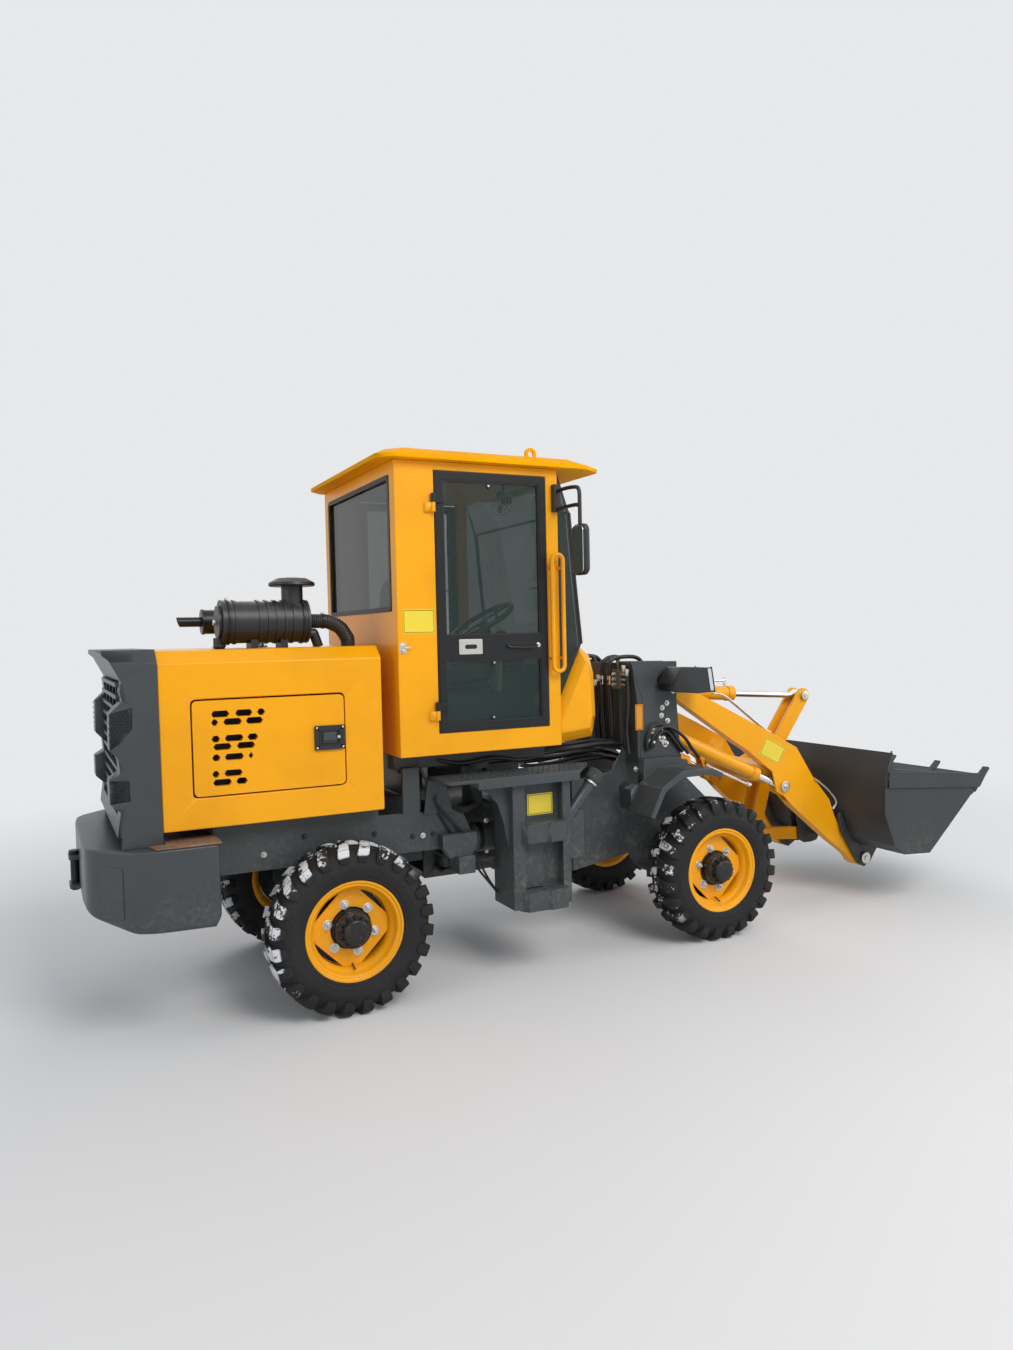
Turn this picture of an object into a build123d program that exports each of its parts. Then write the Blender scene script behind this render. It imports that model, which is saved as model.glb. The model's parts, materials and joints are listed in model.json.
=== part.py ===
from build123d import *
import math
import os

# A small articulated wheel loader, in millimetres. X points forward, Y to the machine's left, Z up.
# Side-view coordinates are pairs (X, Z), with X counted from mid wheelbase and Z from the ground.

# Wheels and axles
TYRE_RADIUS = 402.5
TYRE_WIDTH = 214.0
LUG_HEIGHT = 18.0
LUG_COUNT = 24
LUG_WIDTH = 58.0
RIM_RADIUS = 214.0
RIM_FLANGE = 236.0
RIM_WALL = 10.0
DISC_DEPTH = 66.0
RIM_HALF = TYRE_WIDTH / 2 - 26.0
TRACK = 1186.0
WHEELBASE = 2163.0
AXLE_TUBE_RADIUS = 58.0
AXLE_FLANGE_RADIUS = 105.0
HUB_RADIUS = 84.0
HUB_REACH = 62.0
CAP_RADIUS = 58.0
CAP_REACH = 38.0
DISC_FLAT = 158.0
NUT_CIRCLE = 118.0
NUT_COUNT = 6

REAR_AXLE_X = -WHEELBASE / 2
FRONT_AXLE_X = WHEELBASE / 2
TYRE_OUT = TRACK / 2 + TYRE_WIDTH / 2
TYRE_IN = TRACK / 2 - TYRE_WIDTH / 2

# Gaps
FIT = 0.3
PIN_FIT = 0.5
RUN_GAP = 8.0
DOOR_GAP = 7.0

# Steering pivot between the two frames
PIVOT_X = 50.0
EAR_THICK = 30.0
UPPER_EAR_Z = 850.0
LOWER_EAR_Z = 450.0
EAR_RADIUS = 95.0
KINGPIN_RADIUS = 32.0
SHAFT_Z = 600.0
FORK_GAP = 10.0

# Rear frame
RAIL_OUT = 455.0
RAIL_WALL = 22.0
RAIL_TOP = 900.0
RAIL_BOTTOM = 690.0
RAIL_FRONT_X = -365.0
FRAME_HALF = 110.0
RAIL_MID = RAIL_OUT - RAIL_WALL / 2
STEP_IN = 430.0
STEP_OUT = 700.0
STEP_HEIGHTS = (353.0, 704.0)
STEP_RIM = 100.0
DECK_Z = 1040.0
DECK_THICK = 18.0

# Counterweight
CW_REAR_X = -2215.0
CW_FRONT_X = -1672.0
CW_HALF = 655.0
CW_BOTTOM = 512.0
CW_TOP = 880.0
CW_CORNER = 130.0
TOW_PLATE_OUT = 45.0
TOW_PIN_RADIUS = 20.0
RAIL_REAR_X = CW_FRONT_X

# Engine hood
HOOD_HALF = 560.0
HOOD_WALL = 25.0
HOOD_REAR_X = -1895.0
HOOD_FRONT_X = -878.0
HOOD_BOTTOM = 935.0
HOOD_TOP = 1730.0
HOOD_CREASE = 1672.0
COWL_REAR_X = -2113.0
COWL_HALF = 565.0
COWL_MESH_DEPTH = 12.0
COWL_BARS = 11
DOOR_REAR_X = -1765.0
DOOR_FRONT_X = -1063.0
DOOR_BOTTOM = 1073.0
DOOR_TOP = 1512.0
DOOR_CORNER = 22.0
HOOD_HINGES = (1160.0, 1400.0)
HOSE_X = -968.0
HOSE_RADIUS = 32.0
FILTER_Y = 230.0 - HOOD_HALF
FILTER_RADIUS = 100.0
FILTER_Z = HOOD_TOP + FILTER_RADIUS + 25.0
MUFFLER_Y = HOOD_HALF - 390.0
MUFFLER_Z = HOOD_TOP + 120.0

# Cab
CAB_HALF = 590.0
CAB_WALL = 40.0
CAB_REAR_X = -800.0
CAB_BOTTOM = 1180.0
CAB_TOP = 2622.0
PILLAR_X = 101.0
ROOF_HALF = 640.0
ROOF_REAR_X = -885.0
ROOF_FRONT_X = 372.0
ROOF_BRIM = 24.0
ROOF_CROWN = 35.7
ROOF_TOP = CAB_TOP + FIT + ROOF_BRIM + ROOF_CROWN
EYE_HOLE = 16.0
EYE_PLATE = 14.0
LIFT_EYE_X = -20.0
LIFT_EYE_Y = 520.0
LIFT_EYE_Z = ROOF_TOP + 22.0
CAB_DOOR_REAR_X = -587.0
CAB_DOOR_FRONT_X = 23.0
CAB_DOOR_BOTTOM = 1294.0
CAB_DOOR_TOP = CAB_TOP - 49.0
CAB_DOOR_THICK = 34.0
CAB_DOOR_FRAME = 38.0
CAB_HINGES = (1400.0, 2420.0)
CAB_BAR_BOTTOM = 1644.0
CAB_BAR_TOP = 1770.0
REAR_WINDOW_BOTTOM = 1896.0
REAR_WINDOW_TOP = CAB_TOP - 67.0
GLASS = 10.0
HINGE_HEIGHT = 45.0

# Front frame and tower
TOWER_OUT = 425.0
TOWER_PLATE = 20.0
TOWER_IN = 295.0
TOWER_REAR_X = 656.0
TOWER_FRONT_X = 978.0
TOWER_TOP = 1600.0

FENDER_EMBOSS = 9.0

# Loader linkage pins, with the boom low and the bucket rolled back
BOOM_PIN = (880.0, 1490.0)
BUCKET_PIN = (2500.0, 240.0)
LIFT_BASE = (890.0, 1192.0)
LIFT_PIN = (1829.0, 774.0)
TILT_BASE = (780.0, 1413.0)
ROCKER_TOP = (2320.0, 1308.0)
ROCKER_PIN = (2028.0, 914.5)
ROCKER_LOW = (1875.0, 398.0)
LINK_PIN = (2338.0, 352.0)
CROSS_TUBE = (1850.0, 838.0)

PIN_RADIUS = 25.0
ARM_CENTRE = 350.0
ARM_HALF = 35.0
ARM_BOSS = 62.0
CROSS_TUBE_RADIUS = 72.0
ROCKER_GAP = 36.0
ROCKER_PLATE = 20.0
ROCKER_BOSS = 56.0
EYE_HALF = 20.0
EYE_RADIUS = 42.0
EAR_PLATE = 18.0
LIFT_BARREL_RADIUS = 40.0
LIFT_ROD_RADIUS = 20.0
LIFT_GLAND_AT = 812.0
TILT_BARREL_RADIUS = 45.0
TILT_ROD_RADIUS = 21.0
TILT_GLAND_AT = 962.0

# Steering cylinders, in plan: each lies square to its pivot arm when the machine stands straight
STEER_ARM = 215.0
STEER_BASE = (-430.0, STEER_ARM)
STEER_END = (PIVOT_X, STEER_ARM)
STEER_Z = 555.0
STEER_BARREL_RADIUS = 28.0
STEER_ROD_RADIUS = 14.0
STEER_GLAND_AT = 322.0
STEER_ROD_START = 175.0
STEER_LUG_GAP = 34.0
STEER_LUG = 18.0

# Bucket
BUCKET_HALF = 770.0
BUCKET_SHEET = 12.0
TOOTH_COUNT = 5
TOOTH_PITCH = 375.0
TOOTH_WIDTH = 46.0
TOOTH_LENGTH = 105.0
TOOTH_DIR = (0.757, 0.653)

# The frame's origin is under the middle of the whole length
REAR_REACH = CW_REAR_X - TOW_PLATE_OUT
FRONT_REACH = 3180.0 + TOOTH_DIR[0] * TOOTH_LENGTH
MID_X = (REAR_REACH + FRONT_REACH) / 2


def box(x0, x1, y0, y1, z0, z1):
    """A box between two corners."""
    return Pos((x0 + x1) / 2, (y0 + y1) / 2, (z0 + z1) / 2) * Box(x1 - x0, y1 - y0, z1 - z0)


def outline(points):
    """A closed face in side view from (X, Z) pairs."""
    return make_face(Polyline(*[(x, 0, z) for x, z in points], close=True))


def plate(points, y0, y1):
    """A side-view outline as a plate from y0 to y1."""
    face = Pos(0, y0, 0) * outline(points)
    return extrude(face, amount=y1 - y0, dir=(0, 1, 0))


def flat(points, z0, z1):
    """A plan-view outline (X, Y) as a plate from z0 to z1."""
    face = make_face(Polyline(*[(x, y, z0) for x, y in points], close=True))
    return extrude(face, amount=z1 - z0, dir=(0, 0, 1))


def rod(p, q, radius):
    """A round bar between two points in space."""
    start = Vector(*p)
    run = Vector(*q) - start
    return Plane(origin=start, z_dir=run) * Pos(0, 0, run.length / 2) * Cylinder(radius, run.length)


def cross(pin, y0, y1, radius):
    """A round bar across the machine at a side-view point."""
    return rod((pin[0], y0, pin[1]), (pin[0], y1, pin[1]), radius)


def mirror_pair(shape):
    """The shape and its mirror image on the other side."""
    return [shape, mirror(shape, about=Plane.XZ)]


def strip(points, thickness):
    """Outline of a bent sheet that lies on the left of a side-view line, with mitred bends."""
    inner = []
    for i, (x, z) in enumerate(points):
        before = points[max(i - 1, 0)]
        after = points[min(i + 1, len(points) - 1)]
        normals = []
        for a, b in ((before, (x, z)), ((x, z), after)):
            length = math.hypot(b[0] - a[0], b[1] - a[1])
            if length > 0:
                normals.append(((a[1] - b[1]) / length, (b[0] - a[0]) / length))
        nx = sum(n[0] for n in normals) / len(normals)
        nz = sum(n[1] for n in normals) / len(normals)
        scale = thickness / (nx * nx + nz * nz)
        inner.append((x + nx * scale, z + nz * scale))
    return list(points) + inner[::-1]


def between(p, q, t):
    """The side-view point at distance t from p towards q."""
    length = math.hypot(q[0] - p[0], q[1] - p[1])
    return (p[0] + (q[0] - p[0]) * t / length, p[1] + (q[1] - p[1]) * t / length)


def bar_between(p, q, half, y0, y1):
    """A plate with round ends of the given half width, from pin p to pin q."""
    length = math.hypot(q[0] - p[0], q[1] - p[1])
    nx = -(q[1] - p[1]) / length * half
    nz = (q[0] - p[0]) / length * half
    web = plate([(p[0] + nx, p[1] + nz), (q[0] + nx, q[1] + nz),
                 (q[0] - nx, q[1] - nz), (p[0] - nx, p[1] - nz)], y0, y1)
    return web + cross(p, y0, y1, half) + cross(q, y0, y1, half)


# Wheels

def make_tyre():
    """One tyre about the Y axis at the origin: carcass with two rows of slanted lugs."""
    half = TYRE_WIDTH / 2
    base = TYRE_RADIUS - LUG_HEIGHT
    bead = RIM_RADIUS + FIT
    section = [(bead, -RIM_HALF + FIT), (RIM_FLANGE + 4, -RIM_HALF + FIT), (RIM_FLANGE + 14, -half + 10),
               (300, -half), (352, -half + 3),
               (base - 8, -half + 14), (base, -half + 34)]
    section = section + [(r, -y) for r, y in section[::-1]]
    profile = make_face(Polyline(*[(r, y) for r, y in section], close=True))
    tyre = revolve(profile, axis=Axis.Y)
    lug = flat([(0, 2), (LUG_WIDTH - 14, 2), (LUG_WIDTH + 24, half - 2), (26, half - 2)],
               base - 22, TYRE_RADIUS)
    shoulder = plate([(30, 338), (LUG_WIDTH + 20, 338), (LUG_WIDTH + 24, base), (26, base)],
                     half - 12, half - 2)
    lug = lug + shoulder
    limit = Rot(90, 0, 0) * Cylinder(TYRE_RADIUS, 2 * TYRE_WIDTH)
    lug = lug & limit
    step = 360.0 / LUG_COUNT
    lugs = []
    for i in range(LUG_COUNT):
        lugs.append(Rot(0, i * step, 0) * lug)
        lugs.append(Rot(0, (i + 0.5) * step, 0) * mirror(lug, about=Plane.XZ))
    return tyre + lugs


def make_rim():
    """One rim about Y, its outside towards +Y: stepped well, flanges, disc with four flats, hub and nuts."""
    half = RIM_HALF
    r = RIM_RADIUS
    wall = RIM_WALL
    well = [(r, -half), (RIM_FLANGE, -half), (RIM_FLANGE, -half - 8), (r - wall, -half - 8),
            (r - wall, -half + 26), (r - wall - 26, -half + 44), (r - wall - 26, half - 52),
            (r - wall - 6, half - 34), (r - wall - 6, half - 14), (r - wall + 4, half + 8),
            (RIM_FLANGE - 6, half + 8), (RIM_FLANGE, half + 4), (RIM_FLANGE, half), (r, half),
            (r, half - 26), (r - 16, half - 44), (r - 16, -half + 44), (r, -half + 26)]
    rim = revolve(make_face(Polyline(*well, close=True)), axis=Axis.Y)
    face_y = half - DISC_DEPTH
    disc_r = r - wall - 20
    disc = Pos(0, face_y, 0) * Rot(90, 0, 0) * Cylinder(disc_r, 12)
    for i in range(4):
        cut = box(DISC_FLAT, disc_r + 20, face_y - 20, face_y + 20, -disc_r, disc_r)
        disc = disc - Rot(0, 45 + 90 * i, 0) * cut
    drum_end = face_y + 6 + HUB_REACH
    drum = rod((0, face_y, 0), (0, drum_end - 10, 0), HUB_RADIUS)
    drum = drum + rod((0, drum_end - 11, 0), (0, drum_end, 0), HUB_RADIUS - 10)
    cap = rod((0, drum_end - 1, 0), (0, drum_end + CAP_REACH, 0), CAP_RADIUS)
    rim = rim + disc + drum + cap
    for i in range(NUT_COUNT):
        nut = Pos(NUT_CIRCLE, face_y + 14, 0) * Rot(90, 0, 0) * extrude(RegularPolygon(14, 6), amount=12, both=True)
        rim = rim + Rot(0, 360 * i / NUT_COUNT + 15, 0) * nut
    return rim


def wheels():
    """Tyre and rim of each wheel, by node name."""
    tyre = make_tyre()
    rim = make_rim()
    nodes = {}
    for end, x in (("front", FRONT_AXLE_X), ("rear", REAR_AXLE_X)):
        for side, turn, y in (("left", 0, TRACK / 2), ("right", 180, -TRACK / 2)):
            place = Pos(x, y, TYRE_RADIUS) * Rot(0, 0, turn)
            nodes["tyre_" + end + "_" + side] = place * tyre
            nodes["rim_" + end + "_" + side] = place * rim
    return nodes


def axle(x, seat_top):
    """A drive axle: tube, flanges behind the discs, differential housing and two seats."""
    inner = TRACK / 2 + RIM_HALF - DISC_DEPTH - 6 - FIT
    body = rod((x, -inner, TYRE_RADIUS), (x, inner, TYRE_RADIUS), AXLE_TUBE_RADIUS)
    for y in (-1, 1):
        flange = rod((x, y * inner, TYRE_RADIUS), (x, y * (inner - 60), TYRE_RADIUS), AXLE_FLANGE_RADIUS)
        body = body + flange
        body = body + box(x - 70, x + 70, y * 285 - 45, y * 285 + 45, TYRE_RADIUS, seat_top)
    housing = Pos(x, 0, TYRE_RADIUS) * Sphere(150)
    trim = box(x - 130, x + 150, -160, 160, TYRE_RADIUS - 135, TYRE_RADIUS + 135)
    return body + (housing & trim)


def front_axle():
    """The front axle with the drive shaft that reaches back to the pivot."""
    shaft = rod((95, 0, SHAFT_Z), (FRONT_AXLE_X - 120, 0, TYRE_RADIUS + 20), 28)
    return axle(FRONT_AXLE_X, TYRE_RADIUS + 90) + shaft


# Rear half

def rear_chassis():
    """Side rails, cross members and the single hinge ears at the pivot."""
    rail_line = [(RAIL_REAR_X, RAIL_BOTTOM), (RAIL_FRONT_X - 30, RAIL_BOTTOM - 10),
                 (RAIL_FRONT_X, RAIL_BOTTOM - 20), (RAIL_FRONT_X - 14, 770), (RAIL_FRONT_X - 50, 848),
                 (RAIL_FRONT_X - 105, 874), (RAIL_REAR_X, RAIL_TOP + 8)]
    frame = plate(rail_line, RAIL_OUT - RAIL_WALL, RAIL_OUT)
    frame = frame + plate(rail_line, -RAIL_OUT, -RAIL_OUT + RAIL_WALL)
    inner_y = RAIL_OUT - RAIL_WALL
    for x0, x1, z0, z1 in ((RAIL_REAR_X, RAIL_REAR_X + 25, RAIL_BOTTOM, RAIL_TOP),
                           (REAR_AXLE_X - 130, REAR_AXLE_X + 130, RAIL_BOTTOM, RAIL_BOTTOM + 25),
                           (-520, -495, RAIL_BOTTOM, 868)):
        frame = frame + box(x0, x1, -inner_y, inner_y, z0, z1)
    nose = [(-510, -inner_y), (-380, -inner_y), (-60, -EAR_RADIUS), (-60, EAR_RADIUS),
            (-380, inner_y), (-510, inner_y)]
    for z in (UPPER_EAR_Z, LOWER_EAR_Z):
        top = z + EAR_THICK
        low_nose = nose
        if z == LOWER_EAR_Z:
            w = FRAME_HALF + 20
            low_nose = [(-510, -w), (-300, -w), (-60, -EAR_RADIUS), (-60, EAR_RADIUS), (-300, w), (-510, w)]
        ear = flat(low_nose, z, top) + box(-61, PIVOT_X, -EAR_RADIUS, EAR_RADIUS, z, top)
        ear = ear + rod((PIVOT_X, 0, z), (PIVOT_X, 0, top), EAR_RADIUS)
        ear = ear - rod((PIVOT_X, 0, z - 1), (PIVOT_X, 0, top + 1), KINGPIN_RADIUS + PIN_FIT)
        frame = frame + ear
    for y in (-FRAME_HALF - 20, FRAME_HALF):
        frame = frame + box(-512, -300, y, y + 20, LOWER_EAR_Z, UPPER_EAR_Z + 5)
    for y in (-1, 1):
        web = box(-512, -492, min(y * FRAME_HALF, y * inner_y), max(y * FRAME_HALF, y * inner_y),
                  RAIL_BOTTOM, UPPER_EAR_Z + 5)
        frame = frame + web
    for y in (-1, 1):
        frame = frame + box(REAR_AXLE_X - 70, REAR_AXLE_X + 70, y * 285 - 45, y * 285 + 45,
                            TYRE_RADIUS + 160 + FIT, RAIL_BOTTOM)
    for y in (-1, 1):
        a, b = sorted((y * (FRAME_HALF + 10), y * (STEER_BASE[1] + 45)))
        for z in (STEER_Z - STEER_LUG_GAP - STEER_LUG, STEER_Z + STEER_LUG_GAP):
            frame = frame + box(STEER_BASE[0] - 34, STEER_BASE[0] + 34, a, b, z, z + STEER_LUG)
        reach = STEER_LUG_GAP + STEER_LUG + 6
        frame = frame + rod((STEER_BASE[0], y * STEER_BASE[1], STEER_Z - reach),
                            (STEER_BASE[0], y * STEER_BASE[1], STEER_Z + reach), 14)
    for side in (-1, 1):
        a, b = sorted((side * 330, side * 420))
        frame = frame + box(CAB_REAR_X + 20, 90, a, b, CAB_BOTTOM - 80, CAB_BOTTOM - FIT)
        frame = frame + box(-745, -655, side * RAIL_MID - 11, side * RAIL_MID + 11, 870, CAB_BOTTOM - 75)
        frame = frame + box(-745, -655, min(side * 380, side * 455), max(side * 380, side * 455),
                            CAB_BOTTOM - 100, CAB_BOTTOM - 70)
        frame = frame + box(-330, -250, side * 290 - 45, side * 290 + 45, UPPER_EAR_Z + 20, CAB_BOTTOM - 90)
        frame = frame + box(-330, -250, min(side * 250, side * 420), max(side * 250, side * 420),
                            CAB_BOTTOM - 110, CAB_BOTTOM - 75)
        c, d = sorted((side * 190, side * (STEP_IN - FIT)))
        frame = frame + box(-215, -150, c, d, UPPER_EAR_Z, UPPER_EAR_Z + EAR_THICK)
        e, f = sorted((side * (RAIL_OUT - RAIL_WALL), side * RAIL_OUT))
        frame = frame + box(RAIL_REAR_X, HOOD_FRONT_X, e, f, RAIL_TOP - 30, HOOD_BOTTOM - FIT)
    return frame


def counterweight():
    """The cast weight behind the rear axle: rounded corners, a rising underside, tow plates and a pin."""
    plan = [(CW_FRONT_X, -CW_HALF), (CW_FRONT_X, CW_HALF), (-2005, CW_HALF), (-2192, 468), (CW_REAR_X, 415),
            (CW_REAR_X, -415), (-2192, -468), (-2005, -CW_HALF)]
    weight = flat(plan, CW_BOTTOM - 20, CW_TOP)
    corners = weight.edges().filter_by(Axis.Z).filter_by(lambda e: abs(e.center().Y) > 500 and e.center().X < -1800)
    weight = fillet(corners, 60)
    side = [(CW_FRONT_X - 1, 560), (CW_FRONT_X + 1, 560), (CW_FRONT_X + 1, CW_TOP), (CW_REAR_X - 1, CW_TOP),
            (CW_REAR_X - 1, 612), (-2190, 578), (-2030, 520), (-1705, CW_BOTTOM - 12)]
    weight = weight & plate(side, -CW_HALF, CW_HALF)
    weight = weight - box(CW_REAR_X - 1, CW_REAR_X + 90, -90, 90, 642, 758)
    for z in (622, 758):
        weight = weight + box(CW_REAR_X - TOW_PLATE_OUT, CW_REAR_X + 60, -60, 60, z, z + 20)
    x = CW_REAR_X - 18
    weight = weight + rod((x, 0, 606), (x, 0, 796), TOW_PIN_RADIUS)
    return weight + rod((x, 0, 778), (x, 0, 796), TOW_PIN_RADIUS + 6)


def hood_section(x0, x1, top, crease, half):
    """A hood-like solid from x0 to x1 with sloped top edges."""
    side = [(-half, HOOD_BOTTOM), (half, HOOD_BOTTOM), (half, crease), (half - 70, top),
            (-half + 70, top), (-half, crease)]
    face = make_face(Polyline(*[(x0, y, z) for y, z in side], close=True))
    return extrude(face, amount=x1 - x0, dir=(1, 0, 0))


def hood_door_plan(gap):
    """The side door's outline, smaller all round by the gap."""
    width = DOOR_FRONT_X - DOOR_REAR_X - 2 * gap
    height = DOOR_TOP - DOOR_BOTTOM - 2 * gap
    middle = ((DOOR_FRONT_X + DOOR_REAR_X) / 2, (DOOR_TOP + DOOR_BOTTOM) / 2)
    face = Plane(origin=(middle[0], 0, middle[1]), x_dir=(1, 0, 0), z_dir=(0, -1, 0)) * \
        RectangleRounded(width, height, DOOR_CORNER)
    return face


def knuckles(x, side, wall, z, radius):
    """A door hinge at height z on a wall: the fixed half below, the moving half above."""
    y = side * (wall + radius + 4)
    a, b = sorted((side * wall, side * (wall + radius + 4)))
    fixed = rod((x, y, z - HINGE_HEIGHT), (x, y, z - FIT), radius)
    fixed = fixed + box(x - 42, x, a, b, z - HINGE_HEIGHT, z - FIT)
    c, d = sorted((side * (wall + 2), side * (wall + radius + 4)))
    moving = rod((x, y, z), (x, y, z + HINGE_HEIGHT), radius)
    moving = moving + box(x, x + 55, c, d, z, z + HINGE_HEIGHT)
    return fixed, moving


def engine_hood():
    """The yellow hood: a shell open below, with a door opening in each side."""
    shell = hood_section(HOOD_REAR_X, HOOD_FRONT_X, HOOD_TOP, HOOD_CREASE, HOOD_HALF)
    w = HOOD_WALL
    inside = [(-HOOD_HALF + w, HOOD_BOTTOM - 1), (HOOD_HALF - w, HOOD_BOTTOM - 1),
              (HOOD_HALF - w, HOOD_CREASE - 12), (HOOD_HALF - 70 - w * 0.4, HOOD_TOP - w),
              (-HOOD_HALF + 70 + w * 0.4, HOOD_TOP - w), (-HOOD_HALF + w, HOOD_CREASE - 12)]
    face = make_face(Polyline(*[(HOOD_REAR_X - 1, y, z) for y, z in inside], close=True))
    shell = shell - extrude(face, amount=HOOD_FRONT_X - w - HOOD_REAR_X + 1, dir=(1, 0, 0))
    cut = extrude(Pos(0, HOOD_HALF + 5, 0) * hood_door_plan(0), amount=2 * HOOD_HALF + 10, dir=(0, -1, 0))
    shell = shell - cut
    for side in (-1, 1):
        a, b = sorted((side * (RAIL_OUT - RAIL_WALL), side * HOOD_HALF))
        shell = shell + box(HOOD_REAR_X, HOOD_FRONT_X, a, b, HOOD_BOTTOM, HOOD_BOTTOM + 10)
        for z in HOOD_HINGES:
            shell = shell + knuckles(DOOR_REAR_X - 12, side, HOOD_HALF, z, 8)[0]
    return shell


# Vent slots of the side door: height, then the ends of each slot
SLOT_ROWS = (
    (1443, (-1677, -1597), (-1572, -1495), (-1475, -1438)),
    (1406, (-1678, -1647), (-1625, -1543), (-1526, -1448)),
    (1332, (-1679, -1641), (-1621, -1538), (-1521, -1473)),
    (1296, (-1672, -1592), (-1569, -1488)),
    (1248, (-1679, -1642), (-1624, -1539), (-1519, -1497)),
    (1175, (-1681, -1648), (-1628, -1547)),
    (1136, (-1678, -1596), (-1577, -1526)),
)
SLOT_HALF = 15.0
SLOT_SLOPE = 10.0


def hood_door(side):
    """A side door with its vent slots, latch and rear hinge barrels."""
    a, b = sorted((side * (HOOD_HALF - HOOD_WALL), side * (HOOD_HALF + 3)))
    leaf = extrude(Pos(0, a, 0) * hood_door_plan(DOOR_GAP), amount=b - a, dir=(0, 1, 0))
    for row in SLOT_ROWS:
        z = row[0]
        for x0, x1 in row[1:]:
            near = x0 + SLOT_SLOPE
            far = x1 - SLOT_SLOPE
            slot = plate([(x0, z), (near, z + SLOT_HALF), (far, z + SLOT_HALF), (x1, z), (far, z - SLOT_HALF),
                          (near, z - SLOT_HALF)], a - 1, b + 1)
            leaf = leaf - slot
    c, d = sorted((side * (HOOD_HALF - 20), side * (HOOD_HALF + 9)))
    leaf = leaf + box(-1211, -1075, c, d, 1250, 1360)
    for z in HOOD_HINGES:
        leaf = leaf + knuckles(DOOR_REAR_X - 12, side, HOOD_HALF, z, 8)[1]
    return leaf


def rear_cowl():
    """The dark cowl behind the hood: a stepped side outline, mesh bands, and a barred mouth."""
    front = HOOD_REAR_X - FIT
    body = hood_section(COWL_REAR_X, front, HOOD_TOP + 8, HOOD_CREASE + 6, COWL_HALF)
    side = [(front, HOOD_BOTTOM), (-2080, HOOD_BOTTOM), (-2064, 1042), (-2104, 1082), (-2104, 1182), (-2060, 1210),
            (-2064, 1272), (-2098, 1310), (-2094, 1468), (-2042, 1520), (-2049, 1558), (-2042, 1602),
            (-2088, 1694), (COWL_REAR_X, 1716), (COWL_REAR_X, HOOD_TOP + 8), (front, HOOD_TOP + 8)]
    body = body & plate(side, -COWL_HALF, COWL_HALF)
    body = body - box(-2025, HOOD_REAR_X, -COWL_HALF + 40, COWL_HALF - 40, HOOD_BOTTOM - 1, HOOD_TOP - 40)
    body = body - box(COWL_REAR_X - 1, -2000, -430, 430, 1010, 1600)
    bands = ([(-2125, 1310), (-2125, 1470), (-2094, 1468), (-2003, 1490), (-2006, 1399), (-2049, 1344),
              (-2098, 1310)],
             [(-2125, 1082), (-2125, 1182), (-2104, 1182), (-2025, 1177), (-2024, 1086), (-2104, 1082)])
    for band in bands:
        for y in (-COWL_HALF - 1, COWL_HALF - COWL_MESH_DEPTH):
            body = body - plate(band, y, y + COWL_MESH_DEPTH + 1)
    for i in range(COWL_BARS):
        z = 1036 + i * 54
        body = body + box(-2058, -2040, -440, 440, z, z + 18)
    for side in (-1, 1):
        a, b = sorted((side * 480, side * COWL_HALF))
        body = body + box(-2060, front, a, b, CW_TOP + FIT, HOOD_BOTTOM + 30)
    return body


def drivetrain():
    """Engine, gearbox and the shafts to both axles."""
    engine = box(-1780, -1020, -260, 260, 900, 1480) + box(-1640, -1170, -170, 170, 760, 905)
    engine = engine + box(-1500, -1440, -(RAIL_OUT - RAIL_WALL - FIT), RAIL_OUT - RAIL_WALL - FIT, 770, 800)
    gearbox = box(-860, -530, -150, 150, 560, 920) + box(-860, -620, -120, 120, 400, 565)
    gearbox = gearbox + box(-760, -700, -(RAIL_OUT - RAIL_WALL - FIT), RAIL_OUT - RAIL_WALL - FIT, 770, 800)
    neck = rod((-1160, 0, 840), (-850, 0, 840), 80)
    rear_shaft = rod((REAR_AXLE_X + 172, 0, TYRE_RADIUS), (-855, 0, TYRE_RADIUS + 45), 34)
    front_shaft = rod((-535, 0, SHAFT_Z), (10, 0, SHAFT_Z), 28)
    return engine + gearbox + neck + rear_shaft + front_shaft


def air_cleaner():
    """The ribbed filter on the hood, with its brackets, rain cap, dust valve and hoses into the hood."""
    y = FILTER_Y
    z = FILTER_Z
    body = rod((-1585, y, z), (-1176, y, z), FILTER_RADIUS)
    for x in (-1585, -1530, -1420, -1380, -1340, -1300, -1260, -1188):
        body = body + rod((x, y, z), (x + 12, y, z), FILTER_RADIUS + 5)
    body = body + rod((-1600, y, z), (-1584, y, z), FILTER_RADIUS - 22)
    body = body + rod((-1241, y, z + 60), (-1241, y, z + 175), 51)
    cap = [(0, 169), (104, 169), (111, 175), (108, 187), (72, 207), (20, 215), (0, 215)]
    cap = revolve(make_face(Polyline(*[(r, 0, h) for r, h in cap], close=True)), axis=Axis.Z)
    body = body + Pos(-1241, y, z) * cap
    for x in (-1455, -1315):
        body = body + box(x, x + 34, y - 56, y + 56, HOOD_TOP, z - 70)
    body = body + rod((-1590, y, z - 80), (-1590, y, z - 116), 20)
    path = [(-1180, z), (-1080, z), (-1000, z - 36), (HOSE_X, HOOD_TOP + 40), (HOSE_X, HOOD_TOP)]
    for (x0, z0), (x1, z1) in zip(path, path[1:]):
        body = body + rod((x0, y, z0), (x1, y, z1), HOSE_RADIUS) + Pos(x1, y, z1) * Sphere(HOSE_RADIUS)
    body = body + rod((-1180, y, z - 60), (-1140, y, z - 60), 24) + Pos(-1140, y, z - 60) * Sphere(24)
    body = body + rod((-1140, y, z - 60), (-1118, y, HOOD_TOP), 24)
    limit = box(-2000, -800, y - 300, y + 300, HOOD_TOP, ROOF_TOP)
    return body & limit


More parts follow.
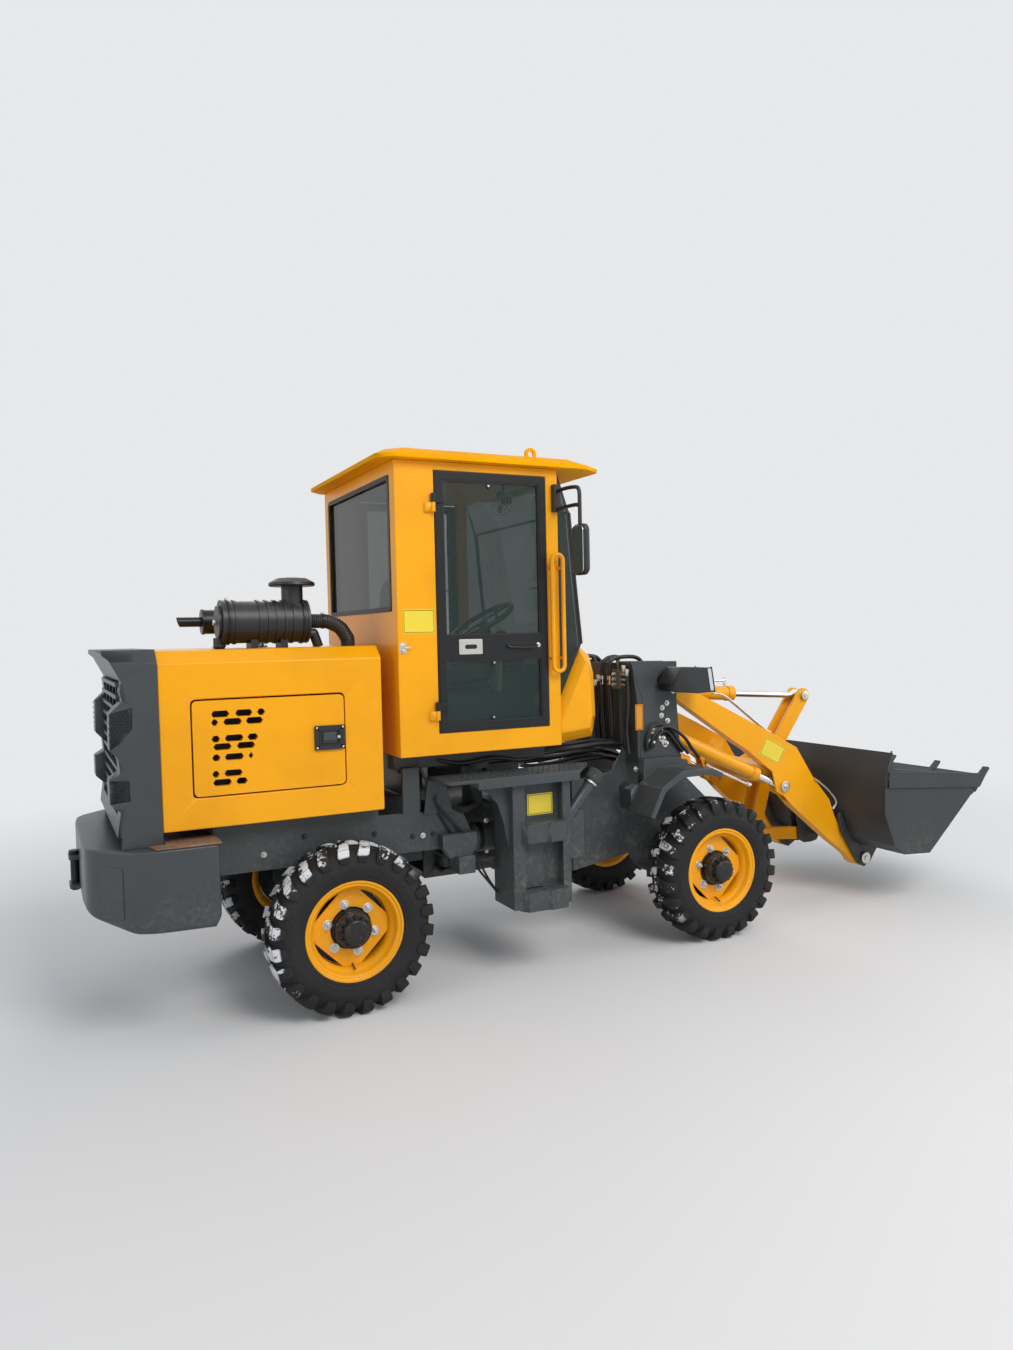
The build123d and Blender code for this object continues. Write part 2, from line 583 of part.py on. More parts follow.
def muffler():
    """The silencer and tail pipe beside the filter."""
    y = MUFFLER_Y
    z = MUFFLER_Z
    body = rod((-1790, y, z), (-1230, y, z), 72) + rod((-1800, y, z), (-1220, y, z), 62)
    body = body + rod((-1905, y, z), (-1798, y, z), 22)
    body = body + rod((-1330, y, z), (-1330, y, HOOD_TOP), 30)
    for x in (-1700, -1290):
        body = body + box(x, x + 30, y - 50, y + 50, HOOD_TOP, z - 50)
    return body


# Cab

NOSE_LINE = ((PILLAR_X + FIT, CAB_BOTTOM + 2), (325, 1207), (349, 1321), (340, 1550), (314, 1647), (238, 1708),
             (PILLAR_X + FIT, 1429))


def cab_shell():
    """Cab walls and pillars: a hollow box with door, rear and front openings cut."""
    shell = box(CAB_REAR_X, PILLAR_X, -CAB_HALF, CAB_HALF, CAB_BOTTOM, CAB_TOP)
    w = CAB_WALL
    shell = shell - box(CAB_REAR_X + w, PILLAR_X + 1, -CAB_HALF + w, CAB_HALF - w, CAB_BOTTOM + w, CAB_TOP - w)
    door = box(CAB_DOOR_REAR_X - DOOR_GAP, CAB_DOOR_FRONT_X + DOOR_GAP, -700, 700,
               CAB_DOOR_BOTTOM - DOOR_GAP, CAB_DOOR_TOP + DOOR_GAP)
    rear = box(CAB_REAR_X - 1, CAB_REAR_X + w + 1, -515, 515, REAR_WINDOW_BOTTOM, REAR_WINDOW_TOP)
    shell = shell - door - rear
    for side in (-1, 1):
        for z in CAB_HINGES:
            shell = shell + knuckles(CAB_DOOR_REAR_X - 18, side, CAB_HALF, z, 11)[0]
    return shell


def roof_plan(inset):
    """The roof's outline seen from above, smaller all round by the inset."""
    a = ROOF_REAR_X + inset
    b = ROOF_FRONT_X - inset
    w = ROOF_HALF - inset
    return [(a, -w + 70), (a + 70, -w), (b - 120, -w), (b, -w + 90), (b, w - 90), (b - 120, w), (a + 70, w),
            (a, w - 70)]


def cab_roof():
    """The roof: a thin brim, a sloped crown and two lifting eyes."""
    brim_top = CAB_TOP + FIT + ROOF_BRIM
    roof = flat(roof_plan(0), CAB_TOP + FIT, brim_top)
    low = make_face(Polyline(*[(x, y, brim_top) for x, y in roof_plan(6)], close=True))
    high = make_face(Polyline(*[(x, y, ROOF_TOP) for x, y in roof_plan(75)], close=True))
    roof = roof + loft([low, high], ruled=True)
    for side in (-1, 1):
        a, b = sorted((side * LIFT_EYE_Y, side * (LIFT_EYE_Y + EYE_PLATE)))
        eye = cross((LIFT_EYE_X, LIFT_EYE_Z), a, b, EYE_HOLE + 16)
        eye = eye + box(LIFT_EYE_X - 32, LIFT_EYE_X + 32, a, b, ROOF_TOP - 10, LIFT_EYE_Z)
        roof = roof + (eye - cross((LIFT_EYE_X, LIFT_EYE_Z), a - 1, b + 1, EYE_HOLE))
    return roof


def nose_cowl():
    """The bulging front panel under the windscreen, hollow behind."""
    nose = plate(NOSE_LINE, -CAB_HALF, CAB_HALF)
    nose = chamfer(nose.edges().filter_by(lambda e: abs(abs(e.center().Y) - CAB_HALF) < 1 and e.center().X > 150), 60)
    nose = nose - plate([(310, 1150), (400, 1150), (400, 1318), (337, 1318)], -CAB_HALF - 1, CAB_HALF + 1)
    inside = [(90, 1225), (285, 1245), (305, 1330), (298, 1530), (280, 1600), (236, 1640), (90, 1356)]
    return nose - plate(inside, -CAB_HALF + 60, CAB_HALF - 60)


def cab_glass():
    """Front screen with its side lights, and the rear window."""
    front = [(PILLAR_X + FIT, CAB_TOP - 7), (177, 2402), (204, 2075), (238, 1712), (PILLAR_X + FIT, 1433)]
    glass = plate(front, -CAB_HALF + 14, CAB_HALF - 14)
    inside = [(90, CAB_TOP - 32), (160, 2395), (187, 2072), (222, 1715), (90, 1450)]
    glass = glass - plate(inside, -CAB_HALF + 24, CAB_HALF - 24)
    rear = box(CAB_REAR_X + 12, CAB_REAR_X + 12 + GLASS, -515 + FIT, 515 - FIT, REAR_WINDOW_BOTTOM + FIT,
               REAR_WINDOW_TOP - FIT)
    return [glass, rear]


def cab_floor():
    """Floor, dash and steering column."""
    floor = box(CAB_REAR_X + CAB_WALL + FIT, PILLAR_X, -CAB_HALF + CAB_WALL + FIT, CAB_HALF - CAB_WALL - FIT,
                CAB_BOTTOM + CAB_WALL + FIT, CAB_BOTTOM + 61)
    dash = box(10, 90, -300, 300, CAB_BOTTOM + 60, 1560)
    column = rod((50, 0, 1530), (-70, 0, 1845), 30)
    ring = Plane(origin=(-70, 0, 1845), z_dir=(-0.5, 0, 0.866)) * Torus(190, 15)
    spoke = Plane(origin=(-70, 0, 1845), z_dir=(-0.5, 0, 0.866)) * Box(380, 30, 12)
    return floor + dash + column + ring + spoke


def seat():
    """Cushion and back of the driver's seat."""
    cushion = box(-520, -60, -240, 240, 1500, 1620)
    back = plate([(-600, 1560), (-500, 1560), (-560, 2120), (-660, 2120)], -230, 230)
    base = box(-480, -120, -180, 180, CAB_BOTTOM + 61 + FIT, 1500 - FIT)
    return [cushion + back, base]


def cab_door(side):
    """A door frame with a middle bar, and its hinges at the rear edge."""
    y0 = min(side * (CAB_HALF - 28), side * (CAB_HALF + 6))
    y1 = max(side * (CAB_HALF - 28), side * (CAB_HALF + 6))
    f = CAB_DOOR_FRAME
    leaf = box(CAB_DOOR_REAR_X, CAB_DOOR_FRONT_X, y0, y1, CAB_DOOR_BOTTOM, CAB_DOOR_TOP)
    leaf = leaf - box(CAB_DOOR_REAR_X + f, CAB_DOOR_FRONT_X - f, y0 - 1, y1 + 1, CAB_DOOR_BOTTOM + f, CAB_BAR_BOTTOM)
    leaf = leaf - box(CAB_DOOR_REAR_X + f, CAB_DOOR_FRONT_X - f, y0 - 1, y1 + 1, CAB_BAR_TOP, CAB_DOOR_TOP - f)
    for z in CAB_HINGES:
        leaf = leaf + knuckles(CAB_DOOR_REAR_X - 18, side, CAB_HALF, z, 11)[1]
    return leaf


def door_glass(side):
    """The two panes of a cab door."""
    y0 = min(side * (CAB_HALF - 16), side * (CAB_HALF - 6))
    f = CAB_DOOR_FRAME + FIT
    panes = []
    for z0, z1 in ((CAB_DOOR_BOTTOM + f, CAB_BAR_BOTTOM - FIT), (CAB_BAR_TOP + FIT, CAB_DOOR_TOP - f)):
        panes.append(box(CAB_DOOR_REAR_X + f, CAB_DOOR_FRONT_X - f, y0, y0 + GLASS, z0, z1))
    return panes


def steps():
    """Tank boxes with two tray steps, uprights, platforms and brackets, one set a side."""
    side = box(-205, 75, STEP_IN, 604, 380, 1035)
    for x0, x1 in ((-235, -165), (56, 105)):
        side = side + box(x0, x1, STEP_IN, 660, 362, 1035)
    side = side + box(-165, -40, 600, 622, 458, 704)
    for z in STEP_HEIGHTS:
        plan = [(-196, 604), (-196, 652), (-168, STEP_OUT), (-60, STEP_OUT), (-40, STEP_OUT + 14),
                (40, STEP_OUT + 14), (60, STEP_OUT), (84, 652), (84, 604)]
        well = [(-150, 624), (-150, 652), (-146, STEP_OUT - 12), (-60, STEP_OUT - 12), (-40, STEP_OUT + 2),
                (34, STEP_OUT + 2), (46, STEP_OUT - 12), (56, 652), (56, 624)]
        side = side + (flat(plan, z, z + STEP_RIM) - flat(well, z - 1, z + STEP_RIM - 12))
    deck_y = RAIL_OUT + FIT
    top = DECK_Z + DECK_THICK
    deck = flat([(-614, deck_y), (-614, STEP_OUT - 30), (-584, STEP_OUT), (142, STEP_OUT), (313, 490),
                 (313, deck_y)], DECK_Z, top)
    lip = box(-440, 142, STEP_OUT - 8, STEP_OUT, DECK_Z - 34, top)
    side = side + deck + lip + box(-235, 105, STEP_IN + 26, 660, 1034, DECK_Z + 1)
    gusset = [(-230, 660), (-230, DECK_Z + 1), (-470, DECK_Z + 1), (-389, 988), (-346, 968), (-295, 908),
              (-262, 808), (-250, 730)]
    side = side + plate(gusset, 600, 612)
    side = side + plate([(-640, 868), (-614, DECK_Z + 2), (-520, DECK_Z + 2), (-480, 868)], deck_y, deck_y + 12)
    side = side + plate([(-560, 700), (-560, 760), (-370, 760), (-370, 690), (-400, 640), (-520, 640)],
                        deck_y, deck_y + 60)
    side = side + box(-490, -400, deck_y, deck_y + 100, 560, 650)
    side = side + box(104, 226, STEP_IN + 90, 590, 570, 822)
    neck_y = STEP_OUT - 80
    neck = rod((80, neck_y, 767), (276, neck_y, 997), 31) + rod((262, neck_y, 981), (301, neck_y, 1027), 42)
    return mirror_pair(side + neck)


def mirrors():
    """Two mirrors on bent arms from the front pillars."""
    y = CAB_HALF
    arm = box(70, 100, y + FIT, y + 30, 2330, 2470)
    arm = arm + rod((85, y + 20, 2450), (85, y + 240, 2450), 11)
    arm = arm + rod((85, y + 240, 2450), (85, y + 240, 2300), 11)
    arm = arm + rod((85, y + 20, 2350), (85, y + 150, 2350), 11)
    arm = arm + Pos(85, y + 240, 2450) * Sphere(11)
    glass = box(75, 110, y + 180, y + 300, 2060, 2310)
    return mirror_pair(arm + glass)


def grab_handles():
    """The upright handles ahead of the doors."""
    y = CAB_HALF
    bar = rod((66, y + 38, 1567), (66, y + 38, 2176), 14)
    for z in (1580, 2162):
        bar = bar + rod((66, y + FIT, z), (66, y + 38, z), 12)
    return mirror_pair(bar)


# Front half

def front_chassis():
    """Side plates, tower, fork ears and cross plates of the front frame."""
    inner_line = [(330, LOWER_EAR_Z - 35), (900, 500), (1180, 500), (1290, 600), (1290, 740), (1010, 1000),
                  (985, 1365), (TOWER_FRONT_X, TOWER_TOP - 7), (TOWER_REAR_X, TOWER_TOP),
                  (680, 1080), (600, 960), (330, 930)]
    outer_line = [(TOWER_REAR_X, TOWER_TOP), (TOWER_FRONT_X, TOWER_TOP - 7), (974, 1365), (1000, 1040),
                  (714, 1040), (735, 1377)]
    frame = None
    for y in (-1, 1):
        a, b = sorted((y * (TOWER_IN - TOWER_PLATE), y * TOWER_IN))
        inner = plate(inner_line, a, b)
        c, d = sorted((y * (TOWER_OUT - TOWER_PLATE), y * TOWER_OUT))
        outer = plate(outer_line, c, d)
        e, f = sorted((y * (TOWER_IN - 5), y * (TOWER_OUT - 5)))
        shelf = box(700, 1005, e, f, 1020, 1045)
        back = plate([(664, 1596), (700, 1596), (735, 1377), (722, 1040), (700, 1040), (700, 1370)], e, f)
        part = inner + outer + shelf + back
        part = part + cross(BOOM_PIN, y * (TOWER_IN - 30), y * (TOWER_OUT + 12), PIN_RADIUS)
        part = part + cross(LIFT_BASE, y * (TOWER_IN - 30), y * (TOWER_OUT + 12), PIN_RADIUS)
        frame = part if frame is None else frame + part
    half = TOWER_IN - 5
    for x0, x1, z0, z1 in ((664, 686, 1080, 1590), (600, 1250, 570, 595), (600, 1000, 930, 955),
                           (330, 355, LOWER_EAR_Z - 35, 930)):
        frame = frame + box(x0, x1, -half, half, z0, z1)
    frame = frame - rod((320, 0, 540), (365, 0, 540), 80)
    for y in (-72, 72 - EAR_PLATE):
        tip_x, tip_z = TILT_BASE
        ear = plate([(680, tip_z - 73), (tip_x + 20, tip_z - 43), (tip_x + 40, tip_z), (tip_x + 20, tip_z + 43),
                     (680, tip_z + 77)], y, y + EAR_PLATE)
        frame = frame + ear
    frame = frame + cross(TILT_BASE, -72, 72, PIN_RADIUS)
    for z in (UPPER_EAR_Z, LOWER_EAR_Z):
        for low in (z - FORK_GAP - 25, z + EAR_THICK + FORK_GAP):
            fork = flat([(356, -half), (356, half), (250, 140), (PIVOT_X, EAR_RADIUS),
                         (PIVOT_X, -EAR_RADIUS), (250, -140)], low, low + 25)
            frame = frame + fork + rod((PIVOT_X, 0, low), (PIVOT_X, 0, low + 25), EAR_RADIUS)
        frame = frame + rod((PIVOT_X, 0, z - FORK_GAP - 30), (PIVOT_X, 0, z + EAR_THICK + FORK_GAP + 30), KINGPIN_RADIUS)
    wing = LOWER_EAR_Z + EAR_THICK + FORK_GAP
    lug_z = STEER_Z + STEER_LUG_GAP
    for y in (-1, 1):
        frame = frame + box(FRONT_AXLE_X - 70, FRONT_AXLE_X + 70, y * 285 - 45, y * 285 + 45,
                            TYRE_RADIUS + 90 + FIT, 520)
        a, b = sorted((y * (STEER_END[1] - 35), y * (STEER_END[1] + 35)))
        frame = frame + box(STEER_END[0] - 32, 340, a, b, wing, wing + 25)
        frame = frame + box(STEER_END[0] - 32, 340, a, b, lug_z, lug_z + STEER_LUG)
        c, d = sorted((y * EAR_RADIUS * 0.5, y * STEER_END[1]))
        frame = frame + box(STEER_END[0] - 20, STEER_END[0] + 60, c, d, wing, wing + 25)
        for low, high in ((wing + 12, wing + 30), (lug_z - 4, lug_z + STEER_LUG + 8)):
            frame = frame + rod((STEER_END[0], y * STEER_END[1], low), (STEER_END[0], y * STEER_END[1], high), 13)
    return frame


def front_fenders():
    """Bent covers over the front wheels with raised panels, carried on webs from the tower."""
    line = [(590, 760), (668, 905), (800, 985), (1010, 985), (1080, 955)]
    cover = plate(strip(line, 8), 478, TYRE_OUT)
    lip = plate([(590, 760), (668, 905), (800, 985), (1010, 985), (1080, 955), (1072, 930), (1008, 958),
                 (806, 958), (690, 890), (612, 748)], TYRE_OUT - 8, TYRE_OUT)
    web = plate([(690, 880), (800, 970), (1010, 975), (1000, 1020), (900, 1045), (700, 1045)],
                TOWER_OUT + FIT, TOWER_OUT + 60)
    rear = plate([(607, 760), (668, 880), (640, 910), (600, 880)], TOWER_OUT - 60, 486)
    cover = cover + lip + web + rear
    for start, end in (((622, 813), (652, 869)), ((700, 921), (768, 962))):
        dx, dz = end[0] - start[0], end[1] - start[1]
        size = math.hypot(dx, dz)
        nx, nz = -dz / size * FENDER_EMBOSS, dx / size * FENDER_EMBOSS
        ridge = plate([start, end, (end[0] + nx, end[1] + nz), (start[0] + nx, start[1] + nz)], 520, 660)
        cover = cover + ridge
    return mirror_pair(cover + box(835, 980, 520, 660, 984, 985 + FENDER_EMBOSS))


def headlamps():
    """Lamp housings beside the tower top."""
    lamp = plate([(818, 1470), (880, 1565), (1090, 1555), (1113, 1415), (1000, 1410), (840, 1425)], 452, 600)
    bracket = box(915, 965, TOWER_OUT + FIT, 455, 1430, 1520)
    return mirror_pair(lamp + bracket)


# Loader linkage

def boom_arms():
    """Two bent arms, the cross tube, and the ears that carry the rocker."""
    line = [(862, 1548), (1000, 1478), (1236, 1359), (1699, 1136), (1839, 1063), (1940, 1012), (2076, 814),
            (2220, 650), (2262, 540), (2355, 385), (2432, 322), (2500, 300), (2548, 278), (2560, 240),
            (2548, 202), (2500, 180), (2440, 200), (2369, 275), (2224, 378), (1900, 640), (1829, 712),
            (1772, 740), (1735, 873), (1539, 1022), (1420, 1093), (998, 1368), (850, 1440), (822, 1490),
            (840, 1530)]
    boom = None
    for y in (-1, 1):
        a, b = sorted((y * (ARM_CENTRE - ARM_HALF), y * (ARM_CENTRE + ARM_HALF)))
        arm = plate(line, a, b)
        c, d = sorted((y * (ARM_CENTRE - EYE_HALF - 5), y * (ARM_CENTRE + EYE_HALF + 5)))
        slot = plate([(1640, 640), (1640, 890), (1700, 936), (1876, 868), (1916, 812), (1908, 766),
                      (1872, 690), (1820, 640)], c, d)
        arm = arm - slot
        for pin in (BOOM_PIN, BUCKET_PIN):
            arm = arm - cross(pin, a - 1, b + 1, PIN_RADIUS + PIN_FIT)
        for e, f in ((a - 14, c - 0.5), (d + 0.5, b + 14)):
            arm = arm + cross(LIFT_PIN, e, f, PIN_RADIUS + 6)
        boom = arm if boom is None else boom + arm
    tube_half = ARM_CENTRE - ARM_HALF + 2
    boom = boom + cross(CROSS_TUBE, -tube_half, tube_half, CROSS_TUBE_RADIUS)
    ear_out = ROCKER_GAP + ROCKER_PLATE + RUN_GAP + 6
    for y0 in (-ear_out - EAR_PLATE, ear_out):
        boom = boom + bar_between(CROSS_TUBE, ROCKER_PIN, 52, y0, y0 + EAR_PLATE)
    boom = boom + cross(ROCKER_PIN, -ear_out - 5, ear_out + 5, PIN_RADIUS)
    return boom


def rocker():
    """The bell crank: two plates on a boss tube."""
    half = ROCKER_GAP + ROCKER_PLATE
    body = cross(ROCKER_PIN, -half - 6, half + 6, ROCKER_BOSS)
    for y0 in (-half, ROCKER_GAP):
        body = body + bar_between(ROCKER_PIN, ROCKER_TOP, 50, y0, y0 + ROCKER_PLATE)
        body = body + bar_between(ROCKER_PIN, ROCKER_LOW, 50, y0, y0 + ROCKER_PLATE)
    body = body - cross(ROCKER_PIN, -half - 7, half + 7, PIN_RADIUS + PIN_FIT)
    for pin in (ROCKER_TOP,):
        for y0, y1 in ((-half - 12, -EYE_HALF - 5), (EYE_HALF + 5, half + 12)):
            body = body + cross(pin, y0, y1, PIN_RADIUS)
    body = body + cross(ROCKER_LOW, -half - 12, half + 12, PIN_RADIUS)
    return body


def rocker_link():
    """The link from the rocker to the bucket, open at the bucket's pin."""
    body = bar_between(ROCKER_LOW, LINK_PIN, 40, -EYE_HALF, EYE_HALF)
    body = body - cross(ROCKER_LOW, -EYE_HALF - 1, EYE_HALF + 1, PIN_RADIUS + PIN_FIT)
    return body - cross(LINK_PIN, -EYE_HALF - 1, EYE_HALF + 1, PIN_RADIUS)


def cylinder(base, end, y, gland_at, barrel_radius, rod_radius, eye_half):
    """Barrel and rod of one cylinder in side view: (barrel, rod)."""
    def at(t):
        x, z = between(base, end, t)
        return (x, y, z)
    length = math.hypot(end[0] - base[0], end[1] - base[1])
    barrel = cross(base, y - eye_half, y + eye_half, EYE_RADIUS)
    barrel = barrel + rod(at(30), at(gland_at), barrel_radius)
    barrel = barrel + rod(at(gland_at - 50), at(gland_at), barrel_radius + 5)
    barrel = barrel - cross(base, y - 60, y + 60, PIN_RADIUS + PIN_FIT)
    bore_end = rod(at(90), at(gland_at + 1), rod_radius + 1)
    barrel = barrel - bore_end
    eye = cross(end, y - eye_half, y + eye_half, EYE_RADIUS)
    shaft = rod(at(gland_at - 480), at(length - 20), rod_radius)
    socket = rod(at(length - 100), at(length - 20), min(rod_radius + 7, eye_half + 2))
    piston = eye + shaft + socket - cross(end, y - 60, y + 60, PIN_RADIUS)
    return barrel, piston


def steering_cylinder(side):
    """Barrel and rod of one steering cylinder: (barrel, rod)."""
    p = Vector(STEER_BASE[0], side * STEER_BASE[1], STEER_Z)
    q = Vector(STEER_END[0], side * STEER_END[1], STEER_Z)
    run = (q - p).normalized()
    length = (q - p).length

    def at(t):
        return tuple(p + run * t)
    lift = Vector(0, 0, 28)
    barrel = rod(tuple(p - lift), tuple(p + lift), 30)
    barrel = barrel + rod(at(20), at(STEER_GLAND_AT), STEER_BARREL_RADIUS)
    barrel = barrel - rod(tuple(p - lift * 1.2), tuple(p + lift * 1.2), 14 + PIN_FIT)
    barrel = barrel - rod(at(44), at(STEER_GLAND_AT + 1), STEER_ROD_RADIUS + 1)
    shaft = rod(at(STEER_ROD_START), at(length - 18), STEER_ROD_RADIUS)
    lift = Vector(0, 0, 20)
    eye = rod(tuple(q - lift), tuple(q + lift), 25)
    piston = shaft + eye - rod(tuple(q - lift * 1.2), tuple(q + lift * 1.2), 13 + PIN_FIT)
    return barrel, piston


BUCKET_LINE = ((2352, 985), (2305, 862), (2290, 742), (2290, 600), (2375, 400), (2462, 335), (2690, 318),
               (3110, 680), (3195, 755))


def bucket():
    """Shell, side plates, cutters, teeth and ears of the bucket."""
    body = plate(strip(list(BUCKET_LINE), BUCKET_SHEET), -BUCKET_HALF, BUCKET_HALF)
    side_line = list(BUCKET_LINE) + [(3200, 782), (2376, 880)]
    for y in (-1, 1):
        a, b = sorted((y * (BUCKET_HALF - 14), y * BUCKET_HALF))
        body = body + plate(side_line, a, b)
        c, d = sorted((y * (BUCKET_HALF - 1), y * (BUCKET_HALF + 14)))
        body = body + plate([(2310, 770), (3150, 700), (3215, 782), (2320, 872)], c, d)
    body = body + plate([(3090, 655), (3215, 762), (3205, 778), (3080, 672)], -BUCKET_HALF, BUCKET_HALF)
    ux, uz = TOOTH_DIR
    for i in range(TOOTH_COUNT):
        y = (i - (TOOTH_COUNT - 1) / 2) * TOOTH_PITCH
        tooth = plate([(3120, 668), (3180 + ux * TOOTH_LENGTH, 742 + uz * TOOTH_LENGTH),
                       (3175 + ux * TOOTH_LENGTH, 754 + uz * TOOTH_LENGTH), (3100, 700)],
                      y - TOOTH_WIDTH / 2, y + TOOTH_WIDTH / 2)
        body = body + tooth
    gap = ARM_HALF + RUN_GAP
    for y in (-1, 1):
        for near in (ARM_CENTRE - gap - EAR_PLATE, ARM_CENTRE + gap):
            a, b = sorted((y * near, y * (near + EAR_PLATE)))
            ear = plate([(2296, 560), (2378, 396), (2464, 331), (2640, 318), (2560, 212), (2500, 180),
                         (2446, 208), (2300, 430), (2270, 540)], a, b)
            body = body + ear
        a, b = sorted((y * (ARM_CENTRE - gap - EAR_PLATE), y * (ARM_CENTRE + gap + EAR_PLATE)))
        body = body + cross(BUCKET_PIN, a - 10, b + 10, PIN_RADIUS)
    for y0 in (-EYE_HALF - RUN_GAP - EAR_PLATE, EYE_HALF + RUN_GAP):
        body = body + plate([(2294, 600), (2378, 396), (2464, 331), (2440, 298), (2384, 290), (2330, 292),
                             (2290, 314), (2276, 352), (2280, 410), (2262, 500)], y0, y0 + EAR_PLATE)
    for y0, y1 in ((-60, -EYE_HALF - 4), (EYE_HALF + 4, 60)):
        body = body + cross(LINK_PIN, y0, y1, PIN_RADIUS)
    return body


def model():
    """Every node's shape by name, in the working frame."""
    nodes = {
        "rear_chassis": rear_chassis(),
        "counterweight": counterweight(),
        "engine_hood": engine_hood(),
        "hood_door_right": hood_door(-1),
        "hood_door_left": hood_door(1),
        "rear_cowl": rear_cowl(),
        "drivetrain": drivetrain(),
        "air_cleaner": air_cleaner(),
        "muffler": muffler(),
        "cab_shell": cab_shell(),
        "cab_roof": cab_roof(),
        "nose_cowl": nose_cowl(),
        "cab_glass": cab_glass(),
        "cab_floor": cab_floor(),
        "seat": seat(),
        "cab_door_right": cab_door(-1),
        "cab_door_left": cab_door(1),
        "door_glass_right": door_glass(-1),
        "door_glass_left": door_glass(1),
        "steps": steps(),
        "mirrors": mirrors(),
        "grab_handles": grab_handles(),
        "rear_axle": axle(REAR_AXLE_X, TYRE_RADIUS + 160),
        "front_chassis": front_chassis(),
        "front_axle": front_axle(),
        "front_fenders": front_fenders(),
        "headlamps": headlamps(),
        "boom_arms": boom_arms(),
        "rocker": rocker(),
        "rocker_link": rocker_link(),
        "bucket": bucket(),
    }
    tilt_barrel, tilt_rod = cylinder(TILT_BASE, ROCKER_TOP, 0, TILT_GLAND_AT, TILT_BARREL_RADIUS,
                                     TILT_ROD_RADIUS, EYE_HALF)
    nodes["tilt_barrel"] = tilt_barrel
    nodes["tilt_rod"] = tilt_rod
    lift_barrel, lift_rod = cylinder(LIFT_BASE, LIFT_PIN, ARM_CENTRE, LIFT_GLAND_AT, LIFT_BARREL_RADIUS,
                                     LIFT_ROD_RADIUS, EYE_HALF)
    nodes["lift_barrels"] = mirror_pair(lift_barrel)
    nodes["lift_rods"] = mirror_pair(lift_rod)
    for name, side in (("right", -1), ("left", 1)):
        barrel, piston = steering_cylinder(side)
        nodes["steer_barrel_" + name] = barrel
        nodes["steer_rod_" + name] = piston
    nodes.update(wheels())
    return nodes


def solids_of(shape):
    """All solids of a shape or list of shapes."""
    if isinstance(shape, (list, tuple)):
        found = []
        for item in shape:
            found.extend(solids_of(item))
        return found
    return list(shape.solids())


def main():
    os.makedirs("parts", exist_ok=True)
    for name, shape in model().items():
        solids = [Pos(-MID_X, 0, 0) * s for s in solids_of(shape)]
        result = solids[0] if len(solids) == 1 else Compound(children=solids)
        export_step(result, os.path.join("parts", name + ".step"))


if __name__ == "__main__":
    main()
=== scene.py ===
import bmesh
import bpy
import json
import math
import numpy as np
from mathutils import Matrix, Vector

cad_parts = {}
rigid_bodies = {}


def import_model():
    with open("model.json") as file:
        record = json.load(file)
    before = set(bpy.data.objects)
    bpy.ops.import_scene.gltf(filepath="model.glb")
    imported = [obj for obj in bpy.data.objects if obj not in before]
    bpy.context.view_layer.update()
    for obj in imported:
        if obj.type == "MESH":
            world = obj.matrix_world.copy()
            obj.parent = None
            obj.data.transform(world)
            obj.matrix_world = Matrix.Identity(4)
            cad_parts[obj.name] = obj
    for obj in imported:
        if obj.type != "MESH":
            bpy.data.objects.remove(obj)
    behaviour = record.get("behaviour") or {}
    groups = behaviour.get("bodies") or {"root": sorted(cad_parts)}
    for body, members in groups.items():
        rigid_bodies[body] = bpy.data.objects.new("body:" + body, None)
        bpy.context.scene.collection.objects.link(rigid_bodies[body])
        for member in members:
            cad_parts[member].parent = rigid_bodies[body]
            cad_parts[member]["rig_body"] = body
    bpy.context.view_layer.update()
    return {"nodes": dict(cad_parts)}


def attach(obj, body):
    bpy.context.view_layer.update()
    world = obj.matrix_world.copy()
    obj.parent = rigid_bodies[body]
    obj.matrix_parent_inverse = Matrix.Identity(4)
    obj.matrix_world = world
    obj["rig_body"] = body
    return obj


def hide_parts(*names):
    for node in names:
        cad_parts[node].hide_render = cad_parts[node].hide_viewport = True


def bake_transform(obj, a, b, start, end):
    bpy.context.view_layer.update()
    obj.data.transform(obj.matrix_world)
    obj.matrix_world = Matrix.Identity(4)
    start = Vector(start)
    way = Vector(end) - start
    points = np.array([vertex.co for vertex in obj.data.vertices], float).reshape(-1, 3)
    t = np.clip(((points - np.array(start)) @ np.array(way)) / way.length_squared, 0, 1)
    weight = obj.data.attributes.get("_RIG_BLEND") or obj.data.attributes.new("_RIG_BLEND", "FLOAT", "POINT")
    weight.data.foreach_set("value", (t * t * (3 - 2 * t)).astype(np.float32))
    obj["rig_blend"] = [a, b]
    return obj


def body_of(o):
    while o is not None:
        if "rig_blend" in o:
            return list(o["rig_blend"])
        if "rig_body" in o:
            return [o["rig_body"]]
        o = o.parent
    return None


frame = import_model()

# Everything here is in metres in the model's frame: X forwards, Y to the left, Z up, and the origin
# on the ground under the middle of the whole length. The drawing frame of the part's source counts X
# from mid wheelbase, so x_of() turns its millimetres into this frame.
MID_X = 0.49974

# Wheel middles in drawing millimetres: before or behind mid wheelbase, out to the side, and up
AXLE_X = 1081.5
WHEEL_Y = 593.0
WHEEL_Z = 402.5

# Levels that trim starts from, in drawing millimetres out from the middle plane, and up for the floor:
# on a face of the solids, or half a millimetre from it
HOOD_SIDE = 560
CAB_SIDE = 589.5
ARM_SIDE = 385
TOWER_SIDE = 425
CAB_FLOOR = 1241.5


def x_of(x_mm):
    """Drawing X in millimetres to model X in metres: x / 1000 - MID_X."""
    return x_mm / 1000.0 - MID_X


# Camera and light

